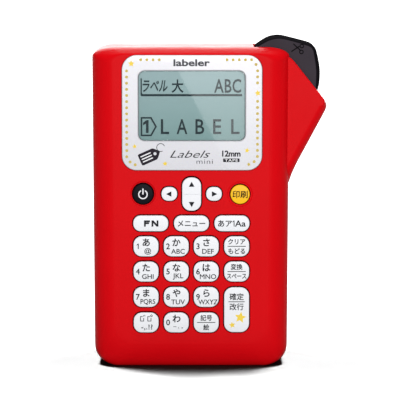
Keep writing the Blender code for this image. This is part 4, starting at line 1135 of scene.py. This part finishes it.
bpy.context.scene.collection.objects.link(floor)
for node in NODES.values():
    if node.name not in col.objects:
        col.objects.link(node)

scene = bpy.context.scene
scene.view_settings.view_transform = "Standard"
world = bpy.data.worlds.new("studio")
scene.world = world
world.use_nodes = True
wt = world.node_tree
wt.nodes.clear()
out = wt.nodes.new("ShaderNodeOutputWorld")
mix = wt.nodes.new("ShaderNodeMixShader")
path = wt.nodes.new("ShaderNodeLightPath")
amb, back = wt.nodes.new("ShaderNodeBackground"), wt.nodes.new("ShaderNodeBackground")
amb.inputs["Color"].default_value = (1.0, 1.0, 1.0, 1)
amb.inputs["Strength"].default_value = 0.13
back.inputs["Strength"].default_value = 1.0
wt.links.new(path.outputs["Is Camera Ray"], mix.inputs["Fac"])
wt.links.new(amb.outputs["Background"], mix.inputs[1])
wt.links.new(back.outputs["Background"], mix.inputs[2])
wt.links.new(mix.outputs["Shader"], out.inputs["Surface"])


def area(name, at, look, size, power, size_y=None, spin=0.0, shadow=True):
    l = bpy.data.lights.new(name, "AREA")
    l.shape, l.size, l.size_y, l.energy = "RECTANGLE", size, size_y or size, power
    o = bpy.data.objects.new(name, l)
    o.location = at
    o.rotation_euler = (Vector(look) - Vector(at)).to_track_quat("-Z", "Y").to_euler()
    o.visible_camera = False
    bpy.context.scene.collection.objects.link(o)
    return o


only_floor = bpy.data.collections.new("lit_floor")
only_floor.objects.link(floor)


def sun(name, direction, energy, angle):
    l = bpy.data.lights.new(name, "SUN")
    l.energy, l.angle = energy, math.radians(angle)
    o = bpy.data.objects.new(name, l)
    o.rotation_euler = Vector(direction).to_track_quat("-Z", "Y").to_euler()
    scene.collection.objects.link(o)
    return o


# Overhead light on the floor from both sides, leaning forward: what stays dark is the ground just ahead of the base.
for i, (lean, power) in enumerate(((0.09, 5.0), (0.137, 9.0), (0.183, 12.0), (0.23, 14.0), (0.29, 22.0))):
    for side in (-1, 1):
        o = sun(f"floor_light_{i + 1}{'lr'[side > 0]}", (side * (0.18 + 0.025 * i), -lean, -1.0), power, 6)
        o.light_linking.receiver_collection = only_floor
overhead = sun("overhead", (0.0, -0.08, -1.0), 2.6, 48)
overhead.light_linking.receiver_collection = col
front_box = area("front_softbox", (0.10, -1.55, 0.36), (0, 0, 0.08), 1.0, 17.3, 0.6)
front_box.light_linking.receiver_collection = col
back_card = area("back_card", (0.16, 1.3, 0.56), (0.0, 0.0, 0.15), 1.6, 30.0, 1.2)
only_case = bpy.data.collections.new("lit_case")
only_case.objects.link(front)
only_case.objects.link(rear)
only_case.objects.link(cover)
back_card.light_linking.receiver_collection = only_case
back_card.visible_diffuse = False
back_fill = area("back_fill", (0.0, 1.5, 0.45), (0.0, 0.0, 0.08), 1.6, 11.0, 1.2)
back_fill.light_linking.receiver_collection = only_case
back_fill.visible_glossy = False
# A card low in front: its slanted edge is the gloss line across the display.
card = area("gloss_card", (0.146, -0.93, 0.154), (0.146, 0.0, 0.154), 0.34, 0.6, 0.34)
card.rotation_euler = (math.radians(90), math.radians(-27.7), 0)
card.light_linking.receiver_collection = col

cam = bpy.data.cameras.new("camera")
camera = bpy.data.objects.new("camera", cam)
scene.collection.objects.link(camera)
aim = Vector((0.0044, -0.027, 0.0795 + LIFT * MM))
el, dist = math.radians(6.0), 1.28
camera.location = aim + Vector((0, -dist * math.cos(el), dist * math.sin(el)))
camera.rotation_euler = (aim - camera.location).to_track_quat("-Z", "Y").to_euler()
cam.sensor_width, cam.lens = 36.0, 240.4
cam.clip_start, cam.clip_end = 0.01, 200.0
scene.camera = camera
